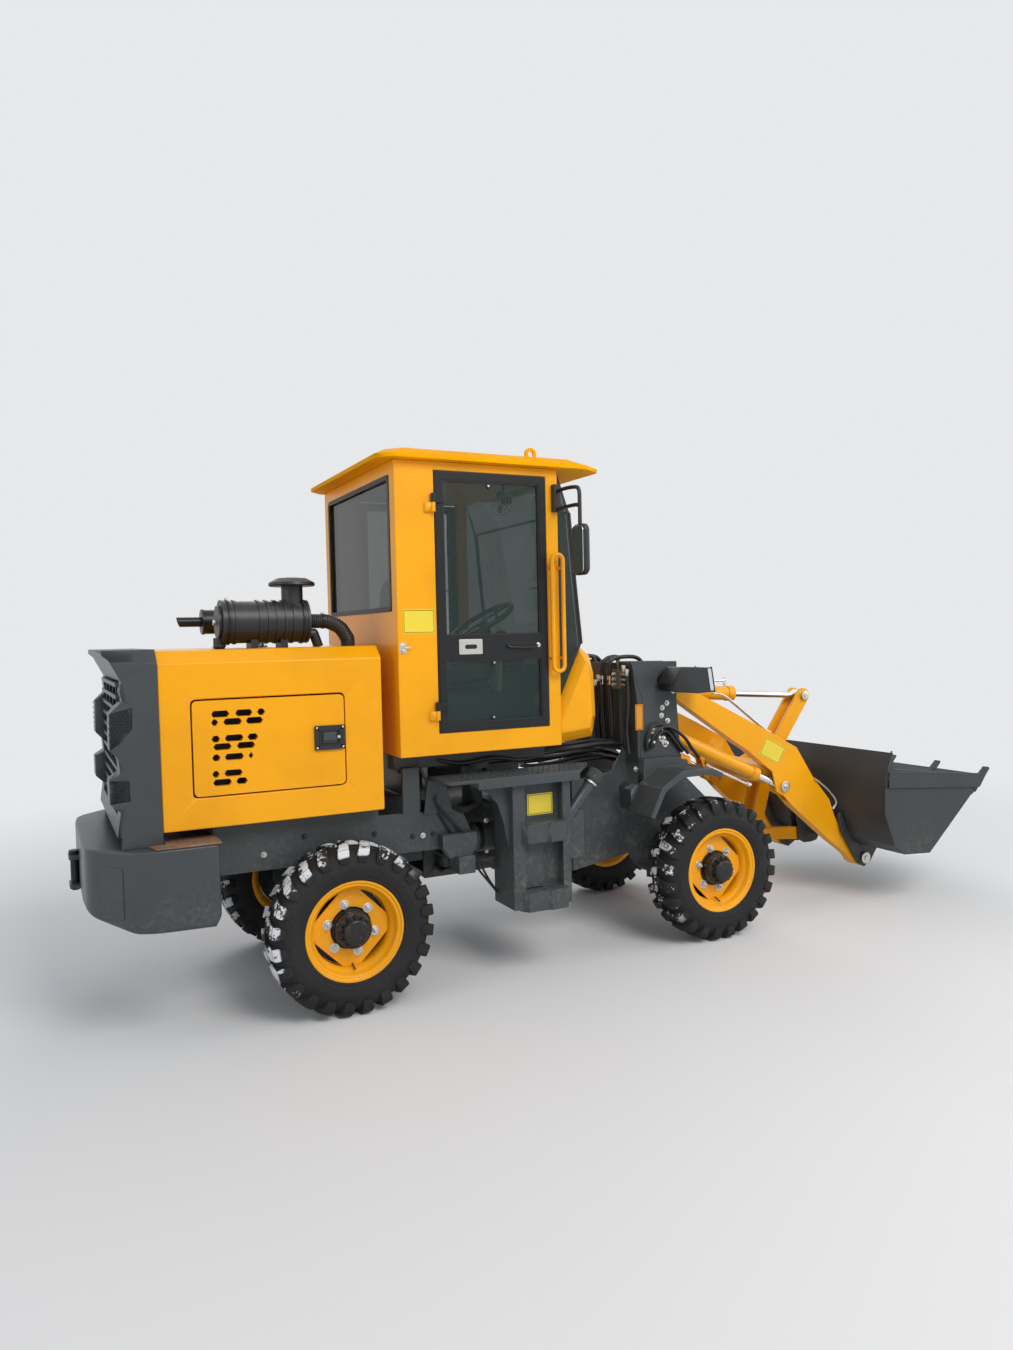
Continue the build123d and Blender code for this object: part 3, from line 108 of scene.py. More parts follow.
CAMERA_YAW = math.radians(26.75)
CAMERA_PITCH = math.radians(2.49)
CAMERA_ROLL = math.radians(-1.25)
CAMERA_PLACE = (-2.376 - MID_X, -4.871, 1.771)
FOCAL_PIXELS = 940.0
PHOTO_HEIGHT = 1350.0


def place_camera():
    """Camera axes from yaw, pitch and roll: ahead = (sin yaw, cos yaw) tipped down by the pitch."""
    sy, cy = math.sin(CAMERA_YAW), math.cos(CAMERA_YAW)
    sp, cp = math.sin(CAMERA_PITCH), math.cos(CAMERA_PITCH)
    ahead = np.array([sy * cp, cy * cp, -sp])
    right = np.array([cy, -sy, 0.0])
    up = np.cross(right, ahead)
    sr, cr = math.sin(CAMERA_ROLL), math.cos(CAMERA_ROLL)
    right, up = right * cr + up * sr, up * cr - right * sr
    data = bpy.data.cameras.new("camera")
    data.sensor_width = 36.0
    data.lens = FOCAL_PIXELS / PHOTO_HEIGHT * data.sensor_width
    data.clip_end = 100.0
    camera = bpy.data.objects.new("camera", data)
    matrix = np.eye(4)
    matrix[:3, 0], matrix[:3, 1], matrix[:3, 2], matrix[:3, 3] = right, up, -ahead, CAMERA_PLACE
    camera.matrix_world = Matrix(matrix.tolist())
    bpy.context.scene.collection.objects.link(camera)
    bpy.context.scene.camera = camera
    bpy.context.scene.view_settings.view_transform = "Standard"


def area_light(name, place, aim, size, power, colour=(1, 1, 1)):
    """A soft square lamp at place that looks at aim."""
    data = bpy.data.lights.new(name, "AREA")
    data.size = size
    data.energy = power
    data.color = colour
    lamp = bpy.data.objects.new(name, data)
    lamp.location = place
    lamp.rotation_euler = (Vector(aim) - Vector(place)).to_track_quat("-Z", "Y").to_euler()
    bpy.context.scene.collection.objects.link(lamp)


place_camera()
area_light("key", (0.5, -7.5, 7.5), (0.0, 0.0, 0.8), 4.5, 520, (1.0, 0.98, 0.95))
area_light("fill", (-8.5, -2.0, 3.5), (0.0, 0.0, 1.0), 5.0, 90, (0.93, 0.96, 1.0))
area_light("front", (7.5, -4.0, 4.0), (0.6, 0.0, 0.8), 4.5, 160)
area_light("back", (1.5, 7.5, 6.0), (0.0, 0.0, 0.8), 5.0, 200)


# Materials

def math_node(operation, flip=False):
    """A method of Value that adds a Math node; flip changes the two inputs over, for a reflected operator."""
    def method(self, other=0.0):
        a, b = (other, self) if flip else (self, other)
        return self.shade.node("ShaderNodeMath", {"operation": operation}, {0: a, 1: b})
    return method


class Value:
    """A node's output socket that takes part in Python sums: each sum adds a Math node."""

    def __init__(self, shade, socket):
        self.shade = shade
        self.socket = socket

    __add__ = math_node("ADD")
    __radd__ = math_node("ADD", True)
    __sub__ = math_node("SUBTRACT")
    __rsub__ = math_node("SUBTRACT", True)
    __mul__ = math_node("MULTIPLY")
    __rmul__ = math_node("MULTIPLY", True)
    __truediv__ = math_node("DIVIDE")
    __rtruediv__ = math_node("DIVIDE", True)
    __gt__ = math_node("GREATER_THAN")
    lower = math_node("MINIMUM")
    higher = math_node("MAXIMUM")
    size = math_node("ABSOLUTE")
    root = math_node("SQRT")
    sine = math_node("SINE")
    angle_to = math_node("ARCTAN2")


class Shade:
    """A material under construction, with its Principled shader."""

    def __init__(self, name):
        self.material = bpy.data.materials.new(name)
        self.material.use_nodes = True
        self.tree = self.material.node_tree
        self.surface = self.tree.nodes["Principled BSDF"]
        self.places = self.node("ShaderNodeTexCoord", {}, {}, "Object")

    def node(self, kind, settings, inputs, output=0):
        """Adds a node: its settings first, then the values or links of its sockets."""
        new = self.tree.nodes.new(kind)
        for key, value in settings.items():
            setattr(new, key, value)
        for key, value in inputs.items():
            self.feed(new.inputs[key], value)
        return Value(self, new.outputs[output])

    def feed(self, socket, value):
        """A Value is linked, and a number or colour is set."""
        if isinstance(value, Value):
            self.tree.links.new(value.socket, socket)
        elif isinstance(value, (tuple, list)) and len(value) == 3 and socket.type == "RGBA":
            socket.default_value = tuple(value) + (1.0,)
        else:
            socket.default_value = value

    def set(self, **sockets):
        """Feeds the Principled shader's sockets: base_color is Base Color, and so on."""
        for key, value in sockets.items():
            self.feed(self.surface.inputs[key.replace("_", " ").title().replace("Ior", "IOR")], value)
        return self

    def noise(self, scale, detail=3.0, rough=0.55, stretch=None):
        """Fractal noise from 0 to 1 over the object's own coordinates."""
        place = self.places
        if stretch:
            place = self.node("ShaderNodeVectorMath", {"operation": "MULTIPLY"}, {0: place, 1: stretch})
        inputs = {"Vector": place, "Scale": scale, "Detail": detail, "Roughness": rough}
        return self.node("ShaderNodeTexNoise", {}, inputs, "Fac")

    def axis(self, letter):
        """One of the object's coordinates, in metres."""
        return self.node("ShaderNodeSeparateXYZ", {}, {0: self.places}, letter)

    def step(self, value, low, high):
        """0 under low, 1 over high, smooth between."""
        return self.node("ShaderNodeMapRange", {"interpolation_type": "SMOOTHSTEP", "clamp": True},
                         {"Value": value, "From Min": low, "From Max": high})

    def mix(self, a, b, share):
        """Colour a where share is 0, and b where it is 1."""
        return self.node("ShaderNodeMix", {"data_type": "RGBA"}, {0: share, 6: a, 7: b}, 2)

    def bump(self, height, strength, distance):
        """A normal that leans as a relief of this height would, up to distance in metres."""
        return self.node("ShaderNodeBump", {}, {"Strength": strength, "Distance": distance, "Height": height})


DUST = (0.36, 0.32, 0.26)


def dusty_paint(name, colour, rough=0.36, coat=0.12, dust_top=0.95, dust=0.45, gloss=0.28):
    """Sprayed paint: colour * (0.90 to 1) by slow noise, fine orange peel, and dust in specks.

    The dust's share is (1 - step of Z up to dust_top) * specks * dust. It dulls the paint and its coat."""
    s = Shade(name)
    slow = s.noise(2.3, 4.0)
    grain = s.noise(46.0, 4.0, 0.62)
    darker = tuple(c * 0.90 for c in colour)
    paint = s.mix(darker, colour, s.step(slow, 0.30, 0.62))
    low = 1.0 - s.step(s.axis("Z"), 0.15, dust_top)
    speck = s.step(grain * 0.6 + s.noise(9.0, 5.0, 0.6) * 0.4, 0.46, 0.72)
    amount = (low * speck * dust).lower(0.85)
    s.set(base_color=s.mix(paint, DUST, amount),
          roughness=rough + amount * 0.5 + (grain - 0.5) * 0.06,
          coat_weight=coat - amount * coat, coat_roughness=0.12, specular_ior_level=gloss,
          normal=s.bump(s.noise(420.0, 2.0), 0.05, 0.0006))
    return s.material


def metal(name, colour, rough, grime=0.0):
    """Bright metal with fine drawn streaks and a little grime."""
    s = Shade(name)
    streak = s.noise(30.0, 3.0, 0.6, stretch=(1.0, 1.0, 14.0))
    dull = s.step(s.noise(14.0, 4.0), 0.55, 0.75) * grime
    s.set(base_color=s.mix(colour, (0.16, 0.14, 0.12), dull), metallic=1.0 - dull * 0.6,
          roughness=rough + streak * 0.10 + dull * 0.35)
    return s.material


def moulded(name, colour, rough=0.5, grain=260.0, depth=0.18, dust=0.25):
    """Moulded plastic: fine leathery grain, with thin dust on what faces up."""
    s = Shade(name)
    fine = s.noise(grain, 3.0, 0.6)
    facing = s.node("ShaderNodeSeparateXYZ", {}, {0: s.node("ShaderNodeNewGeometry", {}, {}, "Normal")}, "Z")
    lying = s.step(facing, 0.35, 0.9) * s.step(s.noise(16.0, 4.0), 0.35, 0.75) * dust
    s.set(base_color=s.mix(colour, (0.34, 0.31, 0.27), lying), roughness=rough + (fine - 0.5) * 0.16,
          normal=s.bump(fine, depth, 0.0008))
    return s.material


def rubber(name, wheel_x, wheel_y, snow):
    """Tyre rubber: black, thin dust, and dried snow on the lugs' faces, behind and above.

    The distance from the axle line is sqrt(dx^2 + dz^2), where dx and dz count from the wheel's middle.
    snow is the share that is covered."""
    s = Shade(name)
    dx = s.axis("X") - wheel_x
    dz = s.axis("Z") - WHEEL_Z / 1000.0
    reach = (dx * dx + dz * dz).root()
    sector = s.step((dz * 0.75 - dx * 0.66) / reach, -0.15, 0.35)
    fine = s.noise(60.0, 4.0, 0.6)
    bare = 0.62 - snow * 0.2
    patch = s.step(s.noise(11.0, 5.0, 0.6) * 0.7 + fine * 0.3, bare, bare + 0.05)
    shoulder = s.step((s.axis("Y") - wheel_y).size(), 0.091, 0.097) * s.step(reach, 0.354, 0.364)
    frost = s.step(reach, 0.389, 0.394).higher(shoulder) * sector * patch
    side = s.step(reach, 0.25, 0.37)
    dirt = s.step(s.noise(5.0, 5.0, 0.6), 0.42, 0.78) * (0.15 + side * 0.25)
    base = s.mix((0.013, 0.013, 0.014), (0.060, 0.056, 0.050), dirt)
    ribs = (dx.angle_to(dz) * 48.0).sine() > 0.93
    ribs = ribs * s.step(reach, 0.300, 0.303) * (1.0 - s.step(reach, 0.332, 0.345))
    ring = s.step(reach, 0.294, 0.297) - s.step(reach, 0.299, 0.302)
    s.set(base_color=s.mix(base, (0.72, 0.74, 0.76), frost * 0.92),
          roughness=0.58 + fine * 0.25, specular_ior_level=0.3,
          normal=s.bump(fine * 0.6 + frost * 0.3 + ribs + ring, 0.4, 0.003))
    return s.material


def window_glass(name, colour, cover):
    """Green tinted pane: seen through by 1 - cover, smooth apart from a few wiped smears."""
    s = Shade(name)
    smear = s.step(s.noise(3.0, 5.0, 0.6), 0.45, 0.75)
    s.set(base_color=colour, roughness=0.03 + smear * 0.05, alpha=cover + smear * 0.05)
    return s.material


def cast_iron(name, colour):
    """Rough cast metal under thin paint."""
    s = Shade(name)
    rough = s.noise(90.0, 4.0, 0.65)
    s.set(base_color=s.mix(tuple(c * 0.7 for c in colour), colour, s.step(rough, 0.3, 0.7)),
          roughness=0.55 + rough * 0.2, normal=s.bump(rough, 0.35, 0.0025))
    return s.material


def board_wood(name):
    """Weathered brown board: grain drawn out along X, with pale dust."""
    s = Shade(name)
    grain = s.noise(26.0, 6.0, 0.65, stretch=(0.5, 6.0, 6.0))
    tone = s.mix((0.10, 0.052, 0.028), (0.26, 0.150, 0.082), s.step(grain, 0.32, 0.68))
    s.set(base_color=s.mix(tone, (0.36, 0.30, 0.24), s.step(s.noise(7.0, 4.0), 0.5, 0.8) * 0.5),
          roughness=0.7 + grain * 0.2, normal=s.bump(grain, 0.3, 0.0015))
    return s.material


YELLOW = (0.93, 0.395, 0.0)
SLATE = (0.056, 0.064, 0.068)
DARK = (0.012, 0.013, 0.014)

MATERIALS = {
    "hood": dusty_paint("hood_yellow", YELLOW, dust_top=1.3, dust=0.10),
    "cab": dusty_paint("cab_yellow", YELLOW, dust_top=1.5, dust=0.10),
    "roof": dusty_paint("roof_yellow", YELLOW, rough=0.7, coat=0.0, gloss=0.06),
    "arm": dusty_paint("arm_yellow", YELLOW, rough=0.36, dust_top=1.2, dust=0.18),
    "rim": dusty_paint("rim_yellow", YELLOW, rough=0.38, dust_top=0.6, dust=0.35),
    "slate": dusty_paint("frame_slate", SLATE, rough=0.42, coat=0.08, dust_top=1.2, dust=0.35),
    "bucket": dusty_paint("bucket_slate", (0.040, 0.045, 0.047), 0.45, 0.05, dust_top=0.7, dust=0.2),
    "weight": dusty_paint("weight_slate", SLATE, rough=0.40, coat=0.12, dust_top=0.95, dust=0.3),
    "black": moulded("black_plastic", DARK, 0.42),
    "black_paint": dusty_paint("black_paint", DARK, rough=0.36, coat=0.08, dust_top=1.0, dust=0.15),
    "seat": moulded("seat_cover", (0.02, 0.02, 0.022), 0.55, 180.0, 0.3),
    "engine": cast_iron("engine_iron", (0.10, 0.115, 0.12)),
    "rod": metal("chromed_rod", (0.82, 0.82, 0.84), 0.08),
    # The fixed panes' glass is darker and less clear than the doors' glass: partly its green tint, partly
    # painted shade
    "glass": window_glass("screen_glass_tint_and_shade", (0.014, 0.028, 0.025), 0.66),
    "door_glass": window_glass("door_glass", (0.026, 0.052, 0.047), 0.36),
    "hub": dusty_paint("hub_black", (0.014, 0.014, 0.015), rough=0.32, coat=0.2, dust_top=0.7, dust=0.2),
    "zinc": metal("zinc_plate", (0.62, 0.61, 0.58), 0.28, 0.35),
    "mirror": metal("mirror_glass", (0.80, 0.84, 0.85), 0.02),
    "lens": metal("lens_silver", (0.78, 0.80, 0.82), 0.12),
    "hose": moulded("hose_rubber", (0.012, 0.012, 0.013), 0.45, 520.0, 0.12, 0.15),
    "gasket": moulded("gasket_rubber", (0.010, 0.010, 0.011), 0.5, 600.0, 0.08, 0.1),
    "label": dusty_paint("label_film", (0.86, 0.66, 0.05), rough=0.3, coat=0.2, dust_top=1.2, dust=0.25),
    "plate": dusty_paint("tower_plate", (0.75, 0.30, 0.02), rough=0.35, coat=0.1, dust_top=1.6, dust=0.3),
    "wood": board_wood("board_wood"),
    "fan": moulded("fan_blade", (0.05, 0.09, 0.16), 0.35, 200.0, 0.05, 0.0),
}

NODE_FINISH = {
    "hood": "engine_hood hood_door_right hood_door_left",
    "cab": "cab_shell nose_cowl grab_handles",
    "roof": "cab_roof",
    "arm": "boom_arms rocker rocker_link tilt_barrel lift_barrels",
    "rim": "rim_front_left rim_front_right rim_rear_left rim_rear_right",
    "slate": "rear_chassis rear_cowl front_chassis front_fenders steps rear_axle front_axle "
             "steer_barrel_right steer_barrel_left",
    "bucket": "bucket",
    "weight": "counterweight",
    "black": "air_cleaner mirrors headlamps cab_floor",
    "black_paint": "cab_door_right cab_door_left muffler",
    "seat": "seat",
    "engine": "drivetrain",
    "rod": "tilt_rod lift_rods steer_rod_right steer_rod_left",
    "glass": "cab_glass",
    "door_glass": "door_glass_right door_glass_left",
}


def finish_nodes():
    """Gives each CAD node its finish."""
    for key, names in NODE_FINISH.items():
        for name in names.split():
            for slot in frame["nodes"][name].material_slots:
                slot.material = MATERIALS[key]
    for end, x in (("front", AXLE_X), ("rear", -AXLE_X)):
        for word, side in (("left", 1), ("right", -1)):
            for slot in frame["nodes"]["tyre_" + end + "_" + word].material_slots:
                slot.material = rubber("rubber_" + end + "_" + word, x_of(x), side * WHEEL_Y / 1000.0, 0.5)


finish_nodes()


# Forms

FORWARDS = (1, 0, 0)
BACKWARDS = (-1, 0, 0)
LEFT = (0, 1, 0)
RIGHT = (0, -1, 0)
UP = (0, 0, 1)
DOWN = (0, 0, -1)

# A form is a pair: its points, an array with rows (x, y, z) in the drawing's millimetres, and its faces,
# a list of blocks. A block is an array with one face in each row, as numbers of points.


def unit(vector):
    """The vector divided by its own length."""
    vector = np.array(vector, float)
    return vector / np.linalg.norm(vector)


def across(direction):
    """Two unit vectors square to a direction and to each other, by cross products with it."""
    helper = (0.0, 0.0, 1.0) if abs(direction[2]) < 0.9 else (1.0, 0.0, 0.0)
    u = unit(np.cross(helper, direction))
    return u, np.cross(direction, u)


def turns(count):
    """Equal steps round a circle, in radians: 2 pi i / count."""
    return 2 * math.pi * np.arange(count) / count


def circle(middle, u, v, radius, count):
    """Points round a circle: middle + (u cos t + v sin t) radius, for equal steps of t."""
    t = turns(count)[:, None]
    return middle + (u * np.cos(t) + v * np.sin(t)) * radius


def skin(rows, join=False, caps=False):
    """Skins rows of points, all of one count: face (i, j) joins points j and j + 1 of rows i and i + 1.

    Each row closes on itself. join runs the last row on into the first, and caps closes both ends."""
    rows = np.array(rows, float)
    number = np.arange(rows.shape[0] * rows.shape[1]).reshape(rows.shape[:2])
    after = np.roll(number, -1, 1)
    sides = np.stack([number, after, np.roll(after, -1, 0), np.roll(number, -1, 0)], -1)
    blocks = [(sides if join else sides[:-1]).reshape(-1, 4)]
    if caps:
        blocks += [number[:1, ::-1], number[-1:]]
    return rows.reshape(-1, 3), blocks


def together(*forms):
    """Several forms as one: a form's numbers are moved on by the count of the points before it."""
    starts = np.cumsum([0] + [len(form[0]) for form in forms])
    blocks = [block + start for form, start in zip(forms, starts) for block in form[1]]
    return np.concatenate([form[0] for form in forms]), blocks


def turned(form, side):
    """The form with its Y multiplied by side, so -1 gives the same form on the machine's other side."""
    return form[0] * (1, side, 1), form[1]


def lathe(profile, base, direction, sides=24, ring=False):
    """Turns a profile of (way along, radius) round a line: row i is a circle of radius r_i at base + d a_i.

    d is the line's direction as a unit vector. A ring's profile closes on itself."""
    d = unit(direction)
    along, radius = np.array(profile, float).T[:, :, None, None]
    rows = circle(np.array(base, float) + d * along, *across(d), radius, sides)
    return skin(rows, join=ring, caps=not ring)


def smooth(path, steps=8):
    """A smooth line through the points of a path (Catmull and Rom's spline).

    From b to c, with a before and d after them and t from 0 to 1, it is half of
    2b + (c - a) t + (2a - 5b + 4c - d) t^2 + (3b - a - 3c + d) t^3. The ends are carried on straight."""
    p = np.array(path, float)
    p = np.concatenate([[2 * p[0] - p[1]], p, [2 * p[-1] - p[-2]]])
    a, b, c, d = (p[i:len(p) - 3 + i, None] for i in range(4))
    t = (np.arange(steps) / steps)[:, None]
    square, cube = 2 * a - 5 * b + 4 * c - d, 3 * b - a - 3 * c + d
    line = 0.5 * (2 * b + (c - a) * t + square * t ** 2 + cube * t ** 3)
    return np.concatenate([line.reshape(-1, 3), p[-2:-1]])


def tube(path, radius, sides=12, closed=False):
    """A round tube along a path: row i is a circle of radius r_i round point i, square to the path there.

    Its first axis is carried along: u_i is u_(i - 1) less its share along the path, made one long.
    radius is one number, or one for each point."""
    path = np.array(path, float)
    ahead = np.roll(path, -1, 0) - np.roll(path, 1, 0) if closed else np.gradient(path, axis=0)
    ahead = ahead / np.linalg.norm(ahead, axis=1, keepdims=True)
    u = [across(ahead[0])[0]]
    for way in ahead:
        u.append(unit(u[-1] - way * np.dot(u[-1], way)))
    u = np.array(u[1:])
    radius = np.broadcast_to(radius, len(path))[:, None, None]
    rows = circle(path[:, None], u[:, None], np.cross(ahead, u)[:, None], radius, sides)
    return skin(rows, join=closed, caps=not closed)


def ordered(outline):
    """The outline run anticlockwise: turned round if the sum of x_i y_(i + 1) - x_(i + 1) y_i is below 0."""
    outline = np.array(outline, float)
    x, y = outline.T
    area = np.sum(x * np.roll(y, -1) - np.roll(x, -1) * y)
    return outline if area > 0 else outline[::-1]


def inset(outline, by):
    """An anticlockwise outline moved inwards, its corners mitred: each moves (na + nb) by / (1 + na . nb).

    na and nb are the inward normals of the sides before and after the corner."""
    before = outline - np.roll(outline, 1, 0)
    after = np.roll(outline, -1, 0) - outline
    before = before / np.linalg.norm(before, axis=1, keepdims=True)
    after = after / np.linalg.norm(after, axis=1, keepdims=True)
    na = np.stack([-before[:, 1], before[:, 0]], 1)
    nb = np.stack([-after[:, 1], after[:, 0]], 1)
    share = 1.0 + np.sum(na * nb, 1, keepdims=True)
    return outline + (na + nb) * by / np.maximum(share, 0.4)


def lift(outline, axis, level):
    """Sets a flat outline on a level of the axis that it lacks, or each of its points on its own level."""
    return np.insert(np.array(outline, float), axis, level, 1)


def slab(outline, axis, low, high, bevel=2.0):
    """A plate between two levels of an axis, its edges bevelled.

    Its rows are the outline inset by the bevel at low and high, and the outline itself a bevel from them."""
    outer = ordered(outline)
    inner = inset(outer, bevel)
    levels = ((inner, low), (outer, low + bevel), (outer, high - bevel), (inner, high))
    return skin([lift(line, axis, level) for line, level in levels], caps=True)


def frame_plate(outline, width, axis, low, high):
    """A flat ring inside an outline: the outline and its inset by width, each at both levels."""
    outer = ordered(outline)
    inner = inset(outer, width)
    levels = ((inner, low), (outer, low), (outer, high), (inner, high))
    return skin([lift(line, axis, level) for line, level in levels], join=True)


def rounded(u0, u1, v0, v1, radius, steps=5):
    """A rectangle with round corners, each a quarter circle: middle + radius (cos t, sin t)."""
    u = np.array([u1 - radius, u0 + radius, u0 + radius, u1 - radius])[:, None]
    v = np.array([v1 - radius, v1 - radius, v0 + radius, v0 + radius])[:, None]
    t = np.radians(90 * np.arange(4)[:, None] + 90 * np.arange(steps + 1) / steps)
    return np.stack([u + radius * np.cos(t), v + radius * np.sin(t)], -1).reshape(-1, 2)


def bolt(place, direction, flats=16.0):
    """A hexagon head on a washer, both sized by the width across the head's flats."""
    wide, corner = flats * 0.95, flats * 0.57
    low, high = flats * 0.16, flats * 0.80
    washer = lathe([(0, wide), (low * 0.7, wide), (low, flats * 0.88)], place, direction, 20)
    head = lathe([(low, corner), (high - 1.2, corner), (high, flats * 0.49)], place, direction, 6)
    return together(washer, head)


def within(points, outline):
    """Which points lie inside an outline: a line to the right from them crosses an odd number of sides."""
    x, y = np.array(points, float).T[:, :, None]
    x0, y0 = outline.T
    x1, y1 = np.roll(outline, -1, 0).T
    rise = np.where(y1 == y0, 1.0, y1 - y0)
    crossed = ((y0 > y) != (y1 > y)) & (x < x0 + (y - y0) / rise * (x1 - x0))
    return crossed.sum(1) % 2 == 1


def hex_mesh(outline, axis, level, pitch, wall, depth):
    """Punched sheet: hexagon holes on a lattice, each a rim with its wall going in by depth.

    Rows are pitch sqrt(3) / 2 apart, and every second one is set over by half a pitch. A hexagon's corners
    are middle + size (cos t, sin t), with t = 30, 90, 150 ... degrees."""
    outline = ordered(outline)
    low, high = outline.min(0), outline.max(0)
    reach = pitch / math.sqrt(3)
    rise = pitch * math.sqrt(3) / 2
    rows, columns = int((high[1] - low[1]) / rise) + 2, int((high[0] - low[0]) / pitch) + 2
    row, column = np.divmod(np.arange(rows * columns), columns)
    middles = np.stack([low[0] + (column + 0.5 * (row % 2)) * pitch, low[1] + row * rise], -1)
    middles = middles[within(middles, inset(outline, reach * 0.4))]
    t = np.radians(30 + 60 * np.arange(6))
    corners = np.stack([np.cos(t), np.sin(t)], -1)
    rings = [lift((middles[:, None] + size * corners).reshape(-1, 2), axis, at)
             for size, at in ((reach, level), (reach - wall, level), (reach - wall, level - depth))]
    holes = np.stack(rings).reshape(3, -1, 6, 3).swapaxes(0, 1)
    return together(*[skin(hole) for hole in holes])


# Edges between faces that meet at more than this many degrees are shaded sharp
SHARP_ANGLE = 46.0


class Pile:
    """The forms of one piece, each with the place of its material. What is added takes the pile's side."""

    def __init__(self, side=1):
        self.side = side
        self.forms = []
        self.slots = []

    def add(self, form, slot=0):
        """Adds a form, whose faces take the material at this place."""
        self.forms.append(turned(form, self.side))
        self.slots += [slot] * sum(map(len, form[1]))

    def both(self, form, slot=0):
        """Adds the form on the left side and on the right."""
        self.add(form, slot)
        self.add(turned(form, -1), slot)

    def mesh(self, name, materials):
        """The pile as a mesh in the model's frame, its faces turned outwards."""
        points, blocks = together(*self.forms)
        faces = [face for block in blocks for face in block.tolist()]
        mesh = bpy.data.meshes.new(name)
        mesh.from_pydata(points / 1000.0 - (MID_X, 0.0, 0.0), [], faces)
        for key in materials:
            mesh.materials.append(MATERIALS[key])
        mesh.polygons.foreach_set("material_index", self.slots)
        work = bmesh.new()
        work.from_mesh(mesh)
        bmesh.ops.recalc_face_normals(work, faces=work.faces)
        work.to_mesh(mesh)
        work.free()
        soften(mesh, SHARP_ANGLE)
        return mesh

    def make(self, name, body, materials, stands_for=()):
        """Turns the pile into an object that rides on a body."""
        piece = place_mesh(name, self.mesh(name, materials))
        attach(piece, body)
        if stands_for:
            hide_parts(*stands_for)
        return piece


def soften(mesh, angle):
    """Smooth shading up to an angle between faces."""
    mesh.polygons.foreach_set("use_smooth", [True] * len(mesh.polygons))
    mesh.set_sharp_from_angle(angle=math.radians(angle))
    mesh.update()


def place_mesh(name, mesh):
    """An object for a mesh, whose flat faces keep their flat shading beside round edges."""
    piece = bpy.data.objects.new(name, mesh)
    bpy.context.scene.collection.objects.link(piece)
    even = piece.modifiers.new("even_normals", "WEIGHTED_NORMAL")
    even.keep_sharp = True
    even.weight = 100
    return piece


# Points nearer than this, in metres, are joined first, and edges sharper than this angle are rounded
SAME_POINT = 0.00004
ROUNDED_FROM = math.radians(30)


def eased(node, passes, drop=None):
    """A copy of a CAD node with its edges rounded, which stands for it.

    Each pass rounds the edges longer than its first number, by its second number, in millimetres. Faces for
    whose middle, in the drawing's millimetres, drop is true are left out first, and their hole is closed.
    Without a pass the copy is shaded flat."""
    source = frame["nodes"][node]
    body = body_of(source)[0]
    work = bmesh.new()
    work.from_mesh(source.data)
    bmesh.ops.remove_doubles(work, verts=work.verts, dist=SAME_POINT)
    if drop:
        gone = []
        for face in work.faces:
            x, y, z = face.calc_center_median()
            if drop((x + MID_X) * 1000.0, abs(y) * 1000.0):
                gone.append(face)
        bmesh.ops.delete(work, geom=gone, context="FACES")
        bmesh.ops.holes_fill(work, edges=[e for e in work.edges if len(e.link_faces) == 1], sides=0)
    for longer, width in passes:
        chosen = []
        for edge in work.edges:
            if len(edge.link_faces) == 2 and edge.calc_length() * 1000.0 > longer:
                if edge.calc_face_angle(0.0) > ROUNDED_FROM:
                    chosen.append(edge)
        bmesh.ops.bevel(work, geom=chosen, offset=width / 1000.0, offset_type="OFFSET", segments=2,
                        profile=0.5, affect="EDGES", clamp_overlap=False)
    mesh = bpy.data.meshes.new("eased_" + node)
    work.to_mesh(mesh)
    work.free()
    mesh.materials.append(source.material_slots[0].material)
    mesh.polygons.foreach_set("material_index", [0] * len(mesh.polygons))
    soften(mesh, SHARP_ANGLE)
    if not passes:
        mesh.polygons.foreach_set("use_smooth", [False] * len(mesh.polygons))
    piece = place_mesh("eased_" + node, mesh)
    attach(piece, body)
    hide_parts(node)
    return piece


# Wheels

AXLE = ((0, 0, 0), LEFT)
LUG_COUNT = 24
TREAD_RADIUS = 385.0

# A lug starts this far under the tread, is this much wider there on each side, and has this bevel on top
LUG_ROOT = -16
LUG_FLARE = 4
LUG_SOFT = 3.0

# Outer half of the tyre's section: out from the wheel's middle, then radius
TYRE_SECTION = ((84, 224), (92, 231), (92, 238), (96, 243), (100, 246), (100.5, 250), (99.5, 253),
                (103, 262), (104.5, 264), (104, 268), (106, 285), (107, 300), (105, 310), (102, 325),
                (97, 340), (90, 354), (80, 366), (66, 375), (50, 381), (30, 384))

# One lug, from the middle outwards: way out, base radius, lean, height, then its two edges round the tread
LUG = ((-4, 384, 0, 18, 0, 44), (30, 384.5, 0, 18, 6, 50), (60, 383, 5, 18, 13, 60),
       (80, 380, 16, 18, 19, 72), (90, 374, 32, 16.5, 22, 77), (97, 366, 52, 13, 24, 80),
       (101, 354, 75, 8, 26, 80), (103, 340, 85, 5, 28, 77), (105, 328, 90, 1, 30, 74))


